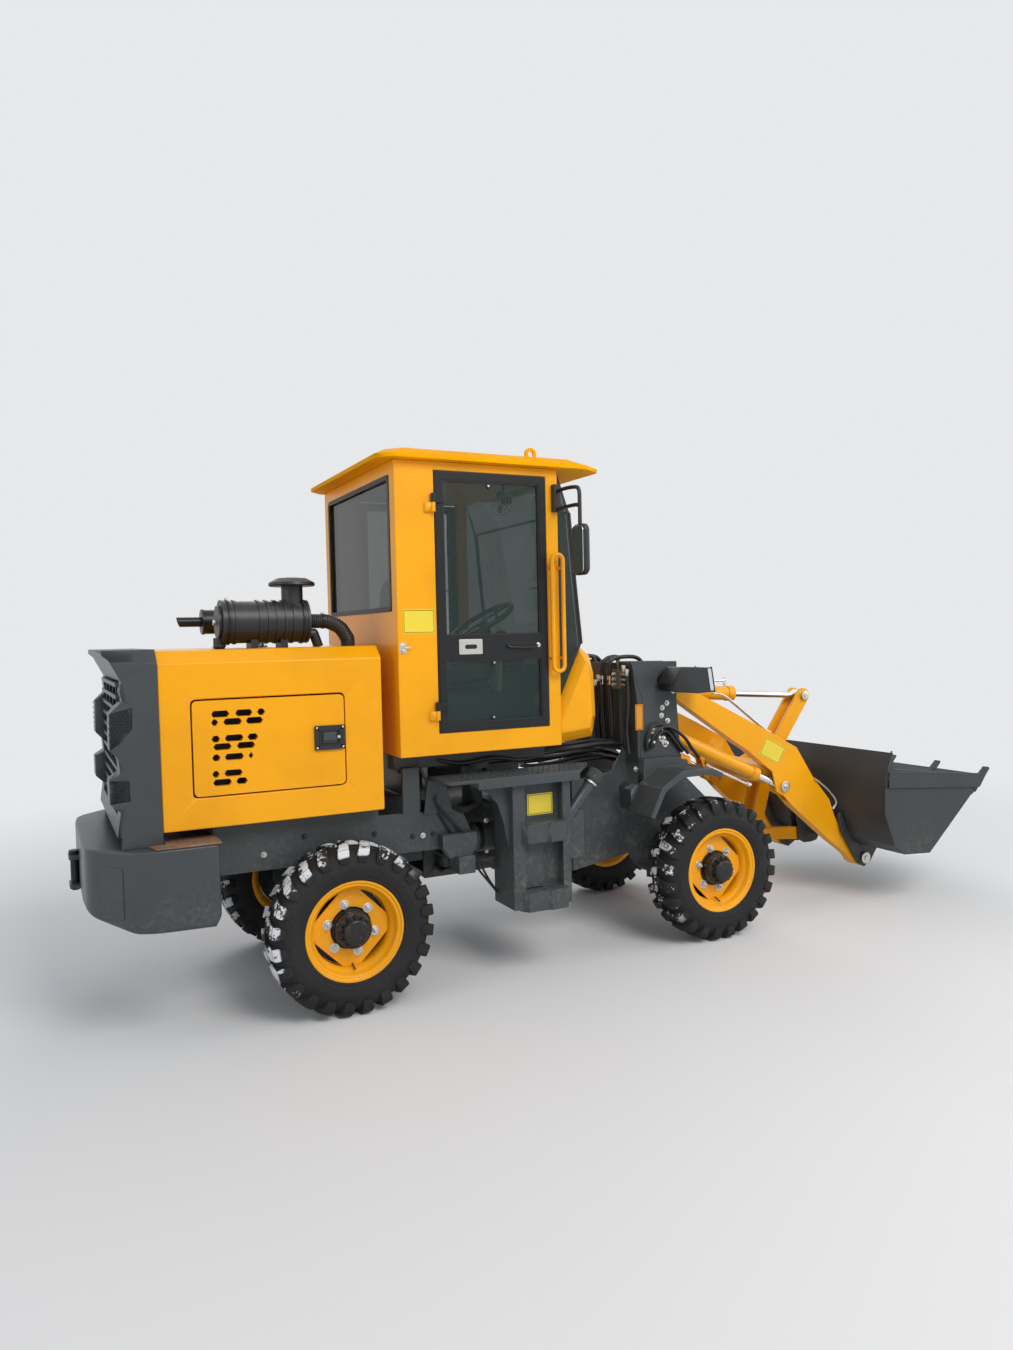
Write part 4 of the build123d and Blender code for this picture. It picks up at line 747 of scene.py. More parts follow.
def tyre_form():
    """Carcass with sidewall rings, and the two staggered rows of lugs.

    Point (i, j) of a lug has the radius r = radius_i + h_j cos(lean_i), the way out y = out_i + h_j
    sin(lean_i) and the angle t = start + c_j / TREAD_RADIUS, so it lies at (r sin t, y, r cos t)."""
    section = TYRE_SECTION + tuple((-out, radius) for out, radius in TYRE_SECTION[::-1])
    out, radius, lean, height, c0, c1 = np.array(LUG, float).T[:, :, None]
    lean = np.radians(lean)
    soft = np.minimum(LUG_SOFT, height * 0.4)
    root = np.full_like(height, LUG_ROOT)
    c = np.hstack([c0 - LUG_FLARE, c0, c0 + soft, c1 - soft, c1, c1 + LUG_FLARE])
    h = np.hstack([root, height - soft, height, height, height - soft, root])
    r = radius + h * np.cos(lean)
    y = out + h * np.sin(lean)
    forms = [lathe(section, *AXLE, 120, ring=True)]
    for side, shift in ((1, 0.0), (-1, 0.5)):
        start = 2 * math.pi * (np.arange(LUG_COUNT)[:, None, None] + shift) / LUG_COUNT
        t = start + c / TREAD_RADIUS
        lugs = np.stack([r * np.sin(t), np.broadcast_to(side * y, t.shape), r * np.cos(t)], -1)
        forms += [skin(lug, caps=True) for lug in lugs]
    return together(*forms)


# Rim section round the axle: out from the wheel's middle, then radius
RIM_SECTION = ((80, 238), (88, 240), (93, 238), (95, 233), (93, 228), (88, 226), (86, 222), (88, 217),
               (86, 212), (80, 208), (66, 204), (58, 203), (52, 196), (40, 186), (20, 183), (-40, 183),
               (-60, 200), (-81, 208), (-89, 215), (-92, 232), (-88, 238), (-81, 238), (-81, 216),
               (-60, 214), (80, 214))
HUB_SECTION = ((21, 94), (25, 92), (26, 86), (74, 86), (80, 82), (83, 76), (83, 63), (86, 60), (112, 60),
               (118, 56), (121, 48), (121, 20), (119, 18))
DISC_RADIUS = 184.0
DISC_FLAT = 158.0
NUT_CIRCLE = 118.0
HUB_BOLT_CIRCLE = 71.0
STUD_CIRCLE = 60.0


def rim_forms():
    """(form, slot) pairs: yellow rim and disc, black hub and cap, bright nuts and studs.

    The disc has four flats: its radius is DISC_FLAT / cos(angle from the flat's middle), and DISC_RADIUS at
    most."""
    t = turns(96)
    near = np.radians(np.degrees(t) % 90.0 - 45.0)
    r = np.minimum(DISC_RADIUS, DISC_FLAT / np.cos(near))
    disc = np.stack([r * np.cos(t), r * np.sin(t)], -1)
    forms = [(lathe(RIM_SECTION, *AXLE, 96, ring=True), 0), (slab(disc, 1, 9, 21, 3), 0),
             (lathe(((20, 150), (24, 146), (24, 104), (21, 100)), *AXLE, 64), 0),
             (lathe(HUB_SECTION, *AXLE, 48), 1),
             (lathe(((-44, 80), (-44, 181), (-34, 182), (-34, 80)), *AXLE, 48, ring=True), 1)]
    for i, t in enumerate(turns(12)):
        x, z = math.cos(t), math.sin(t)
        forms.append((bolt((HUB_BOLT_CIRCLE * x, 82, HUB_BOLT_CIRCLE * z), LEFT, 11), 1))
        forms.append((tube([(STUD_CIRCLE * x, y, STUD_CIRCLE * z) for y in (88, 112)], 6, 8), 1))
        if i % 2 == 0:
            x = NUT_CIRCLE * math.cos(t + math.radians(15))
            z = NUT_CIRCLE * math.sin(t + math.radians(15))
            forms.append((bolt((x, 23, z), LEFT, 25), 2))
            forms.append((lathe(((38, 8), (52, 8), (54, 6)), (x, 0, z), LEFT, 14), 2))
    forms.append((tube(smooth([(0, 26, -170), (0, 44, -176), (0, 70, -186)], 4), 4, 8), 1))
    return forms


def at_wheel(form, x, side):
    """Sets a form made round the origin on a wheel; the right wheel is the left one turned half round."""
    return form[0] * (side, side, 1) + (x, side * WHEEL_Y, WHEEL_Z), form[1]


def wheels():
    """A tyre and a rim for each wheel, in place of the solids."""
    tyre = tyre_form()
    rim = rim_forms()
    for end, x, snow in (("front", AXLE_X, 0.45), ("rear", -AXLE_X, 0.8)):
        for word, side in (("left", 1), ("right", -1)):
            name = end + "_" + word
            pile = Pile()
            pile.add(at_wheel(tyre, x, side))
            MATERIALS["rubber"] = rubber("rubber_" + name, x_of(x), side * WHEEL_Y / 1000.0, snow)
            pile.make("tyre_form_" + name, "wheel_" + name, ["rubber"], ["tyre_" + name])
            pile = Pile()
            for form, slot in rim:
                pile.add(at_wheel(form, x, side), slot)
            pile.make("rim_form_" + name, "wheel_" + name, ["rim", "hub", "zinc"], ["rim_" + name])


# Engine end

# Half the counterweight's plan as corners with the length that each rounding takes, from the front backwards
WEIGHT_CORNERS = ((-1672, -655, 26), (-2008, -655, 105), (-2204, -449, 60), (-2215, -300, 10))
WEIGHT_UNDERSIDE = ((1672, 1700, 2030, 2190, 2215), (545, 510, 522, 578, 600))
WEIGHT_TOP = 868
LOWER_EDGE = 24
UPPER_EDGE = 12


def weight_form():
    """The cast weight: rounded plan, soft edges, an underside that rises to the rear.

    A corner c is rounded between the points a and b, its length away on both sides, as (1 - s)^2 a +
    2 s (1 - s) c + s^2 b. The lower edge is inset by e (1 - sin t) and raised by e (1 - cos t), and the upper
    one is inset by e (1 - cos t) and raised by e sin t."""
    corners = np.array(WEIGHT_CORNERS, float)
    plan = np.vstack([(-1672.0, 0.0), corners[:, :2], (-2215.0, 0.0)])
    middle = plan[1:-1]
    a, b = (other - middle for other in (plan[:-2], plan[2:]))
    a, b = (middle + way / np.linalg.norm(way, axis=1, keepdims=True) * corners[:, 2:] for way in (a, b))
    s = np.linspace(0, 1, 9)[:, None]
    half = a[:, None] * (1 - s) ** 2 + middle[:, None] * 2 * s * (1 - s) + b[:, None] * s ** 2
    half = half.reshape(-1, 2)
    outline = ordered(np.vstack([half, half[::-1] * (1, -1)]))
    low = np.interp(-outline[:, 0], *WEIGHT_UNDERSIDE)
    rows = []
    for t in np.radians((0, 30, 60, 90)):
        line = inset(outline, LOWER_EDGE * (1 - math.sin(t)))
        rows.append(lift(line, 2, low + LOWER_EDGE * (1 - math.cos(t))))
    for t in np.radians((0, 45, 90)):
        line = inset(outline, UPPER_EDGE * (1 - math.cos(t)))
        rows.append(lift(line, 2, WEIGHT_TOP + UPPER_EDGE * math.sin(t)))
    points, blocks = skin(rows)
    count = len(outline)
    i = np.arange(count // 2 - 1)
    blocks.append(np.arange(len(points) - count, len(points))[None])
    blocks.append(np.stack([i, i + 1, count - 2 - i, count - 1 - i], -1))
    return points, blocks


def counterweight():
    """The weight with a raised panel over each rear corner, the tow plates and their pin."""
    pile = Pile()
    pile.add(weight_form())
    along = unit((-196, 206, 0))
    out = unit((-206, -196, 0))
    middle = np.array((-2110.0, -548.0, 700.0))
    rows = []
    for grow, rise in ((0, 0), (0, 2.5), (-2, 4)):
        s, h = rounded(-62 - grow, 62 + grow, -112 - grow, 108 + grow, 12).T[:, :, None]
        rows.append(middle + along * s + out * rise + np.array(UP) * h)
    pile.both(skin(rows, caps=True))
    for z in (622, 758):
        pile.add(slab(rounded(-2260, -2150, -60, 60, 14), 2, z, z + 20, 3))
    pin = ((606, 16), (610, 20), (778, 20), (778, 26), (793, 26), (796, 22))
    pile.add(lathe(pin, (-2233, 0, 0), UP, 24), 1)
    pile.add(slab(rounded(-88, 88, 642, 758, 10), 0, -2216.4, -2214, 0.6), 1)
    pile.make("counterweight_form", "rear_frame", ["weight", "black_paint"], ["counterweight"])


COWL_BANDS = (((-2098, 1314), (-2094, 1466), (-2006, 1488), (-2009, 1401), (-2052, 1346)),
              ((-2102, 1085), (-2102, 1180), (-2028, 1175), (-2027, 1089)))


def cowl_mesh():
    """Punched mesh in the cowl's sides and back, with four bars over the back one."""
    pile = Pile()
    for band in COWL_BANDS:
        pile.both(hex_mesh(band, 1, HOOD_SIDE, 15, 2.2, 5))
    pile.add(hex_mesh(rounded(-428, 428, 1012, 1598, 4, 1), 0, -2012, 24, 3.0, -6))
    for y in (-300, -100, 100, 300):
        pile.add(slab([(y - 8, 1012), (y + 8, 1012), (y + 8, 1598), (y - 8, 1598)], 0, -2046, -2030, 2))
    pile.make("cowl_mesh", "rear_frame", ["black_paint"])


def filter_trim():
    """Straps with their screws, end nut, foot bolts, dust cup and ribbed air hose of the intake filter.

    The hose's radius at point i is 33 + 2.8 |sin(1.05 i)|."""
    pile = Pile()
    y, z = -330.0, 1855.0
    for x, r in ((-1560, 107), (-1212, 107), (-1172, 42), (-1100, 37)):
        band = ((0, r - 2), (0, r), (2, r + 1), (10, r + 1), (12, r), (12, r - 2))
        pile.add(lathe(band, (x, y, z), FORWARDS, 40), 1)
        pile.add(lathe(((0, 6), (22, 6), (24, 4)), (x + 6, y - 8, z + r + 3), LEFT, 10), 2)
    hose = smooth([(-1180, y, z), (-1130, y, z), (-1070, y, z - 3), (-1010, y, z - 32), (-974, y, z - 84),
                   (-968, y, 1731)], 16)
    ribs = 33.0 + 2.8 * np.abs(np.sin(np.arange(len(hose)) * 1.05))
    pile.add(tube(hose, ribs, 24), 0)
    pile.add(lathe(((0, 0.5), (0, 9), (4, 9), (6, 14), (14, 14), (16, 4)), (-1602, y, z), BACKWARDS, 8), 2)
    for x in (-1438, -1298):
        for dy in (-42, 42):
            pile.add(bolt((x, y + dy, 1733), UP, 13), 2)
    dust_cup = ((0, 26), (6, 28), (34, 28), (40, 30), (60, 18), (68, 8))
    pile.add(lathe(dust_cup, (-1590, y, z - 72), DOWN, 20), 0)
    pile.make("filter_trim", "rear_frame", ["black", "black_paint", "zinc"])


def silencer():
    """The silencer's drum with rolled rims, straps and feet, and its tail pipe, cut at a slant."""
    pile = Pile()
    y, z = 170.0, 1868.0
    drum = ((0, 22), (0, 61), (3, 66), (14, 66), (17, 63),
            (355, 63), (358, 66), (369, 66), (372, 61), (372, 22))
    pile.add(lathe(drum, (-1592, y, z), FORWARDS, 48), 0)
    points, blocks = lathe(((70, 21), (0, 21), (0, 25), (119, 25)), (-1705, y, z), FORWARDS, 28)
    points[:, 0] -= np.where(points[:, 0] < -1700, 0.3 * (points[:, 2] - z), 0.0)
    pile.add((points, blocks), 0)
    for x in (-1520, -1300):
        pile.add(lathe(((0, 63), (0, 65.5), (22, 65.5), (22, 63)), (x, y, z), FORWARDS, 40), 0)
        foot = [(y - 52, 1731), (y + 52, 1731), (y + 30, 1822), (y - 30, 1822)]
        pile.add(slab(foot, 0, x + 6, x + 16, 1.5), 0)
        pile.add(slab(rounded(x - 14, x + 34, y - 58, y + 58, 6), 2, 1730.2, 1735, 1), 0)
        for dy in (-46, 46):
            pile.add(bolt((x + 24, y + dy, 1735), UP, 11), 1)
    pile.make("silencer", "rear_frame", ["black_paint", "zinc"], ["muffler"])


def weight_board():
    """The wooden board that lies on the weight."""
    pile = Pile()
    board = [(-1890, -470), (-1664, -470), (-1664, -653), (-1935, -653), (-1958, -578), (-1890, -578)]
    pile.add(slab(board, 2, 880.4, 890, 1.5))
    pile.make("board_on_weight", "rear_frame", ["wood"])


def hood_latches():
    """The sunken latch of each hood door: pan, frame, flap, grip and screws."""
    for word, side in (("right", -1), ("left", 1)):
        pile = Pile(side)
        pile.add(slab(rounded(-1213, -1073, 1250, 1360, 7), 1, HOOD_SIDE + 3, HOOD_SIDE + 9.8, 0.5), 1)
        pile.add(frame_plate(rounded(-1215, -1071, 1248, 1362, 7), 20, 1, HOOD_SIDE + 3, HOOD_SIDE + 15), 0)
        pile.add(frame_plate(rounded(-1194, -1092, 1269, 1341, 3), 5, 1, HOOD_SIDE + 3, HOOD_SIDE + 17), 0)
        pile.add(slab(rounded(-1176, -1112, 1279, 1331, 6), 1, HOOD_SIDE + 8, HOOD_SIDE + 18.5, 4), 3)
        grip = [(-1170, 1284), (-1118, 1284), (-1118, 1296), (-1170, 1296)]
        pile.add(slab(grip, 1, HOOD_SIDE + 17, HOOD_SIDE + 20, 1), 0)
        pile.add(lathe(((0, 7), (3, 7), (4, 4)), (-1101, HOOD_SIDE + 14, 1306), LEFT, 14), 2)
        for x in (-1205, -1081):
            for z in (1258, 1352):
                pile.add(lathe(((0, 5), (2, 5), (3.5, 3)), (x, HOOD_SIDE + 14.5, z), LEFT, 10), 2)
        pile.make("hood_latch_" + word, "hood_door_" + word, ["black", "hub", "zinc", "slate"])


# Cab

def cab_trim():
    """Gaskets of the fixed panes, the wiper, and the striker and lock behind the right door."""
    pile = Pile()
    screen = [(104, 2612), (177, 2402), (204, 2075), (238, 1712), (104, 1434)]
    pile.both(frame_plate(screen, 16, 1, 575.5, 579), 0)
    for y in (-577, 577):
        pile.add(tube(smooth([(178, y, 2402), (204, y, 2075), (239, y, 1712)], 6), 8, 10), 0)
    pile.add(slab([(-577, 2398), (577, 2398), (577, 2412), (-577, 2412)], 0, 176, 180, 1), 0)
    pile.add(frame_plate(rounded(-518, 518, 1893, 2558, 34), 24, 0, -803, -796), 0)
    pile.add(tube(smooth([(216, -140, 1725), (212, -180, 1860), (202, -250, 2010)], 6), 5, 10), 0)
    pile.add(tube([(206, -420, 2030), (206, -90, 2030)], 6, 8), 0)
    pile.add(lathe(((0, 18), (14, 16), (16, 8)), (228, -140, 1722), (1, 0, 0.1), 16), 0)
    pile.add(lathe(((0, 14), (4, 13), (5, 9)), (-775, -590, 1722), RIGHT, 20), 1)
    pile.add(lathe(((0, 10), (9, 9), (10, 6)), (-775, -594, 1700), RIGHT, 16), 1)
    pile.add(slab(rounded(-792, -758, 1688, 1740, 5), 1, -CAB_SIDE - 3, -CAB_SIDE, 1), 1)
    pile.add(slab([(-770, 1709), (-735, 1714), (-735, 1719), (-770, 1720)], 1, -606, -601, 1), 1)
    pile.make("cab_trim", "rear_frame", ["gasket", "zinc"])


def blank_labels():
    """Labels without writing on the cab's right side and on the step."""
    pile = Pile()
    pile.add(slab(rounded(-772, -606, 1784, 1900, 3), 1, -CAB_SIDE - 1.7, -CAB_SIDE, 0.5), 0)
    pile.add(slab(rounded(-122, 27, 830, 941, 3), 1, -605.6, -603.5, 0.5), 0)
    pile.add(frame_plate(rounded(-768, -610, 1788, 1896, 2), 2.2, 1, -CAB_SIDE - 2.1, -CAB_SIDE - 1.5), 1)
    pile.add(frame_plate(rounded(-117, 22, 835, 936, 2), 2.2, 1, -606, -605.4), 1)
    pile.make("blank_labels_rear", "rear_frame", ["label", "black_paint"])


def grab_loops():
    """The double grab loops at the cab's front corners."""
    pile = Pile()
    pile.both(tube(lift(rounded(40, 104, 1572, 2178, 31, 8), 1, 628), 11, 12, closed=True))
    for x, z in ((43, 1640), (43, 2110), (101, 1640), (101, 2110)):
        pile.both(tube([(x, 589, z), (x, 628, z)], 8, 10))
    pile.make("grab_loops", "rear_frame", ["cab"], ["grab_handles"])


def mirror_sets():
    """Mirror heads with their glass, brackets and arms."""
    pile = Pile()
    pile.both(slab(rounded(776, 884, 2067, 2303, 26), 0, 71, 75, 1), 0)
    pile.both(slab(rounded(768, 892, 2058, 2312, 34), 0, 74, 112, 10), 1)
    pile.both(slab(rounded(588, 624, 2398, 2540, 4), 0, 62, 104, 3), 1)
    for z in (2420, 2518):
        pile.both(bolt((103, 606, z), FORWARDS, 12), 2)
    upper = ((85, 612, 2505), (88, 700, 2508), (90, 800, 2500), (90, 826, 2478), (90, 830, 2440),
             (90, 830, 2300))
    lower = ((85, 612, 2412), (88, 700, 2414), (90, 800, 2412), (90, 829, 2400))
    for path in (upper, lower):
        pile.both(tube(smooth(path, 6), 10, 12), 1)
    pile.make("mirror_sets", "rear_frame", ["mirror", "black", "zinc"], ["mirrors"])


def door_trim():
    """Gaskets, lock, handle and window studs of the cab doors."""
    for word, side in (("right", -1), ("left", 1)):
        pile = Pile(side)
        for z0, z1 in ((1331, 1645), (1769, 2536)):
            pile.add(frame_plate(rounded(-550, -14, z0, z1, 12), 7, 1, 583, 592), 0)
        pile.add(frame_plate(rounded(-592, 28, 1289, 2578, 10), 5, 1, 588, 593), 0)
        pile.add(slab(rounded(-481, -353, 1674, 1750, 5), 1, 595, 599, 1.4), 1)
        pile.add(frame_plate(rounded(-472, -362, 1683, 1741, 4), 5, 1, 598.5, 600.2), 1)
        pile.add(slab(rounded(-450, -384, 1701, 1723, 10), 1, 598.6, 600.4, 0.5), 2)
        pile.add(slab(rounded(-222, -16, 1683, 1733, 20), 1, 595, 598, 1), 2)
        grip = [(-212, 597, 1718), (-200, 606, 1706), (-130, 609, 1701), (-60, 607, 1703), (-42, 597, 1712)]
        pile.add(tube(smooth(grip, 5), 8, 10), 2)
        pile.add(lathe(((0, 12), (6, 12), (8, 8)), (-34, 596, 1712), LEFT, 18), 1)
        for x, z in ((-296, 2515), (-285, 1628), (-294, 1352)):
            pile.add(lathe(((0, 14), (4, 13), (5, 9)), (x, 584, z), LEFT, 18), 2)
            pile.add(lathe(((4, 6), (8, 5), (8.5, 3)), (x, 584, z), LEFT, 12), 1)
        pile.make("door_trim_" + word, "cab_door_" + word, ["gasket", "zinc", "hub"])


def cab_inside():
    """What shows through the glass: gauges, levers, the box beside the seat, pedals and a small fan."""
    pile = Pile()
    dash_hood = [(-18, 1560), (-30, 1632), (-8, 1668), (60, 1690), (96, 1680), (96, 1560)]
    pile.add(slab(dash_hood, 1, -190, 190, 8), 0)
    for y in (-120, -40, 40, 120):
        pile.add(lathe(((0, 30), (5, 30), (6, 27), (4, 26)), (-27, y, 1610), (-1, 0, 0.15), 24), 1)
    for i in range(3):
        y = -262 - 26 * i
        pile.add(tube(smooth([(-120, y, 1420), (-112, y, 1600), (-96, y, 1760)], 5), 6, 10), 1)
        pile.add(lathe(((0, 6), (6, 15), (20, 19), (34, 15), (40, 6)), (-97, y, 1752), (0.1, 0, 1), 16), 0)
    console = [(-470, CAB_FLOOR), (-60, CAB_FLOOR), (-60, 1440), (-160, 1470), (-470, 1470)]
    pile.add(slab(console, 1, -340, -245, 10), 0)
    for y in (-160, 120, 190):
        pile.add(slab([(-60, 1300), (-48, 1296), (-8, 1372), (-20, 1378)], 1, y - 32, y + 32, 3), 0)
        pile.add(tube([(-25, y, 1340), (20, y, 1330)], 7, 8), 1)
    centre = np.array((-104.0, -350.0, 2480.0))
    facing = unit((-0.9, -0.35, 0.0))
    u, v = across(facing)
    for r in (28, 52, 76):
        pile.add(tube(circle(centre, u, v, r, 36), 1.6, 6, closed=True), 1)
    for spoke in zip(circle(centre, u, v, 14, 16), circle(centre, u, v, 76, 16)):
        pile.add(tube(spoke, 1.2, 6), 1)
    s = turns(16)[:, None]
    for t in turns(3):
        way = u * math.cos(t) + v * math.sin(t)
        side = v * math.cos(t) - u * math.sin(t)
        blade = way * (40 + 26 * np.cos(s)) + side * 20 * np.sin(s) + facing * 6 * np.sin(s)
        pile.add((centre - facing * 10 + blade, [np.arange(16)[None]]), 2)
    pile.add(lathe(((0, 16), (30, 16), (34, 10)), centre - facing * 40, facing, 16), 0)
    pile.add(tube([centre - facing * 20, (-90, -350, 2581)], 9, 10), 0)
    pile.add(tube([(-70, -190, 1845), (-70, -182, 1900)], 9, 10), 0)
    pile.make("cab_controls", "rear_frame", ["black", "zinc", "fan"])


# Seat

# Lengths of the pads are in metres, and the seams' places are shares of the half sizes
PAD_POWER = 7
PAD_VOXEL = 0.006
PAD_PRESSURE = 4.0
PAD_SWELL = 0.010
CLOTH_STEPS = 20
SEAM_WIDTH = 0.006
SEAM_DEPTH = 0.007
SIDE_ROLL = 0.012
LONG_SEAMS = np.array((-0.52, 0.52))
CROSS_SEAMS = np.array((-0.5, -0.15, 0.2, 0.55))


def points_of(mesh):
    """A mesh's points as an array with rows (x, y, z)."""
    flat = np.empty(len(mesh.vertices) * 3, np.float32)
    mesh.vertices.foreach_get("co", flat)
    return flat.reshape(-1, 3).astype(float)


def set_points(mesh, points):
    """Puts such an array back into the mesh."""
    mesh.vertices.foreach_set("co", points.astype(np.float32).ravel())
    mesh.update()


def apply_modifiers(piece):
    """Makes what the modifiers show the piece's own mesh."""
    shown = piece.evaluated_get(bpy.context.evaluated_depsgraph_get())
    mesh = bpy.data.meshes.new_from_object(shown)
    piece.modifiers.clear()
    piece.data = mesh


def pad(name, half, place, lean):
    """A stuffed pad: a rounded block of the half sizes, blown up gently as cloth, then its seams drawn in.

    The block is a cube whose points are divided by (|x|^7 + |y|^7 + |z|^7)^(1/7). As cloth a point moves by
    PAD_SWELL at most. A seam's share is exp(-(distance / SEAM_WIDTH)^2). On the upper half, with top = z /
    half height, z sinks by SEAM_DEPTH share top^2 and rises by SIDE_ROLL top (|y| / half width)^3 to the
    sides. Sizes and place are in metres, and lean turns the pad about Y."""
    work = bmesh.new()
    bmesh.ops.create_cube(work, size=2.0)
    bmesh.ops.subdivide_edges(work, edges=work.edges, cuts=7, use_grid_fill=True)
    mesh = bpy.data.meshes.new(name)
    work.to_mesh(mesh)
    work.free()
    block = points_of(mesh)
    norm = np.sum(np.abs(block) ** PAD_POWER, 1, keepdims=True) ** (1 / PAD_POWER)
    set_points(mesh, block / norm * half)
    piece = bpy.data.objects.new(name, mesh)
    bpy.context.scene.collection.objects.link(piece)
    remesh = piece.modifiers.new("remesh", "REMESH")
    remesh.mode = "VOXEL"
    remesh.voxel_size = PAD_VOXEL
    apply_modifiers(piece)
    rest = points_of(piece.data)
    cloth = piece.modifiers.new("cloth", "CLOTH")
    cloth.settings.use_pressure = True
    cloth.settings.uniform_pressure_force = PAD_PRESSURE
    cloth.settings.effector_weights.gravity = 0.0
    for step in range(1, CLOTH_STEPS + 1):
        bpy.context.scene.frame_set(step)
    apply_modifiers(piece)
    bpy.context.scene.frame_set(1)
    move = points_of(piece.data) - rest
    length = np.linalg.norm(move, axis=1, keepdims=True)
    x, y, z = (rest + move * PAD_SWELL / np.maximum(length, PAD_SWELL)).T
    top = np.maximum(0.0, z / half[2])
    along = np.exp(-((y[:, None] - LONG_SEAMS * half[1]) / SEAM_WIDTH) ** 2).max(1)
    cross = np.exp(-((x[:, None] - CROSS_SEAMS * half[0]) / SEAM_WIDTH) ** 2).max(1)
    seam = np.maximum(along, np.where(np.abs(y) < half[1] * LONG_SEAMS[1], cross, 0.0))
    z = z - SEAM_DEPTH * seam * top ** 2 + SIDE_ROLL * top * (np.abs(y) / half[1]) ** 3
    set_points(piece.data, np.stack([x, y, z], -1))
    turn = Matrix.Rotation(lean, 4, "Y")
    piece.data.transform(Matrix.Translation(Vector(place)) @ turn)
    piece.data.materials.append(MATERIALS["seat"])
    soften(piece.data, 60.0)
    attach(piece, "rear_frame")
    return piece


def seat():
    """The seat's cushion and back on a base with a bellows and a back plate."""
    cushion = pad("seat_cushion", (0.212, 0.228, 0.050), (x_of(-290), 0.0, 1.558), math.radians(-4))
    pad("seat_back", (0.262, 0.218, 0.042), (x_of(-578), 0.0, 1.845), math.radians(-84))
    pile = Pile()
    pile.add(slab(rounded(-488, -112, -180, 180, 24), 2, CAB_FLOOR, 1262, 4), 0)
    for i in range(8):
        z = 1264 + 26 * i
        pile.add(slab(rounded(-470, -130, -165, 165, 30), 2, z, z + 22, 9), 1)
    pile.add(slab(rounded(-492, -104, -190, 190, 24), 2, 1474, 1499, 5), 0)
    for y in (-150, 150):
        pile.add(slab([(-560, 1500), (-540, 1496), (-600, 1900), (-620, 1900)], 1, y - 14, y + 14, 3), 0)
    pile.make("seat_base", "rear_frame", ["black", "gasket"])
    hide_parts("seat")


# Steps and the space under the cab

def steps_trim():
    """Tread of the platforms, teeth of the steps, ribs of the filler's cap, and bolts."""
    pile = Pile()
    edge = ordered([(-600, 466), (-600, 672), (-574, 690), (134, 690), (294, 492), (294, 466)])
    # Lozenges on a lattice, every second one a quarter turn round
    i, j = np.divmod(np.arange(28 * 8), 8)
    spots = np.stack([-592 + 32 * i + 16 * (j % 2), 478 + 28 * j], -1)
    kept = within(spots, edge) & ~((spots[:, 0] < -440) & (spots[:, 1] > 660))
    for (x, y), odd in zip(spots[kept], ((i + j) % 2)[kept]):
        a, b = (11, 3.2) if odd else (3.2, 11)
        lozenge = np.array([(-a, 0, -2.6), (0, -b, -2.6), (a, 0, -2.6), (0, b, -2.6), (0, 0, 0)])
        pile.both((lozenge + (x, y, 1060.4), [np.array([(0, 1, 4), (1, 2, 4), (2, 3, 4), (3, 0, 4)])]), 0)
    for z in (453, 804):
        for i in range(9):
            x = -150 + 26 * i
            pile.both(lathe(((-1, 6), (2, 5), (3, 3)), (x, 640, z), UP, 8), 0)
        for x in (-182, 70):
            for y in (622, 650, 676):
                pile.both(lathe(((-1, 5), (2, 4), (3, 2)), (x, y, z), UP, 8), 0)
    along = unit((39, 0, 46))
    base = np.array((262.0, 620.0, 981.0))
    for start in circle(base, *across(along), 41, 28):
        pile.both(tube([start + along * 6, start + along * 56], 3.2, 6), 1)
    pile.both(lathe(((-8, 36), (-8, 40), (2, 40), (2, 36)), base - along * 12, along, 30), 2)
    for x, z in ((-699, 764), (-644, 761), (-589, 764), (-288, 799), (-1443, 763), (-1250, 830), (-900, 800)):
        slot = 2 if x in (-644, -1443, -288) else 1
        pile.both(bolt((x, 455.5, z), LEFT, 15), slot)
    for x, z in ((-140, 1000), (-100, 430), (-60, 430), (40, 1000)):
        pile.both(bolt((x, 604.3, z), LEFT, 12), 1)
    for x in (-400, -300, -200, -100, 0, 100):
        pile.both(lathe(((0, 7), (2, 6), (3, 3)), (x, 699.5, 1024), LEFT, 12), 0)
    pile.make("steps_trim", "rear_frame", ["slate", "black", "zinc"])


def under_cab_hoses():
    """The hoses under the cab, as radius and course."""
    pile = Pile()
    hoses = (
        (6, (-590, -462, 960), (-574, -468, 906), (-514, -470, 795), (-369, -470, 583), (-238, -462, 416)),
        (6, (-575, -466, 962), (-562, -474, 905), (-419, -476, 736), (-299, -474, 508), (-229, -460, 408)),
        (9, (-640, -420, 1100), (-600, -445, 1010), (-590, -462, 940)),
        (12, (-600, -400, 1150), (-420, -430, 1108), (-230, -440, 1122), (-60, -420, 1096), (90, -400, 1108)),
        (10, (-560, -360, 1160), (-330, -380, 1126), (-120, -390, 1142), (60, -360, 1120)),
        (14, (-480, -300, 1168), (-300, -330, 1130), (-80, -330, 1150), (80, -300, 1128)),
        (12, (-520, 380, 1160), (-330, 400, 1120), (-120, 410, 1136), (60, 380, 1110)))
    for r, *path in hoses:
        pile.add(tube(smooth(path, 8), r, 12), 0)
    pile.make("under_cab_hoses", "rear_frame", ["hose"])


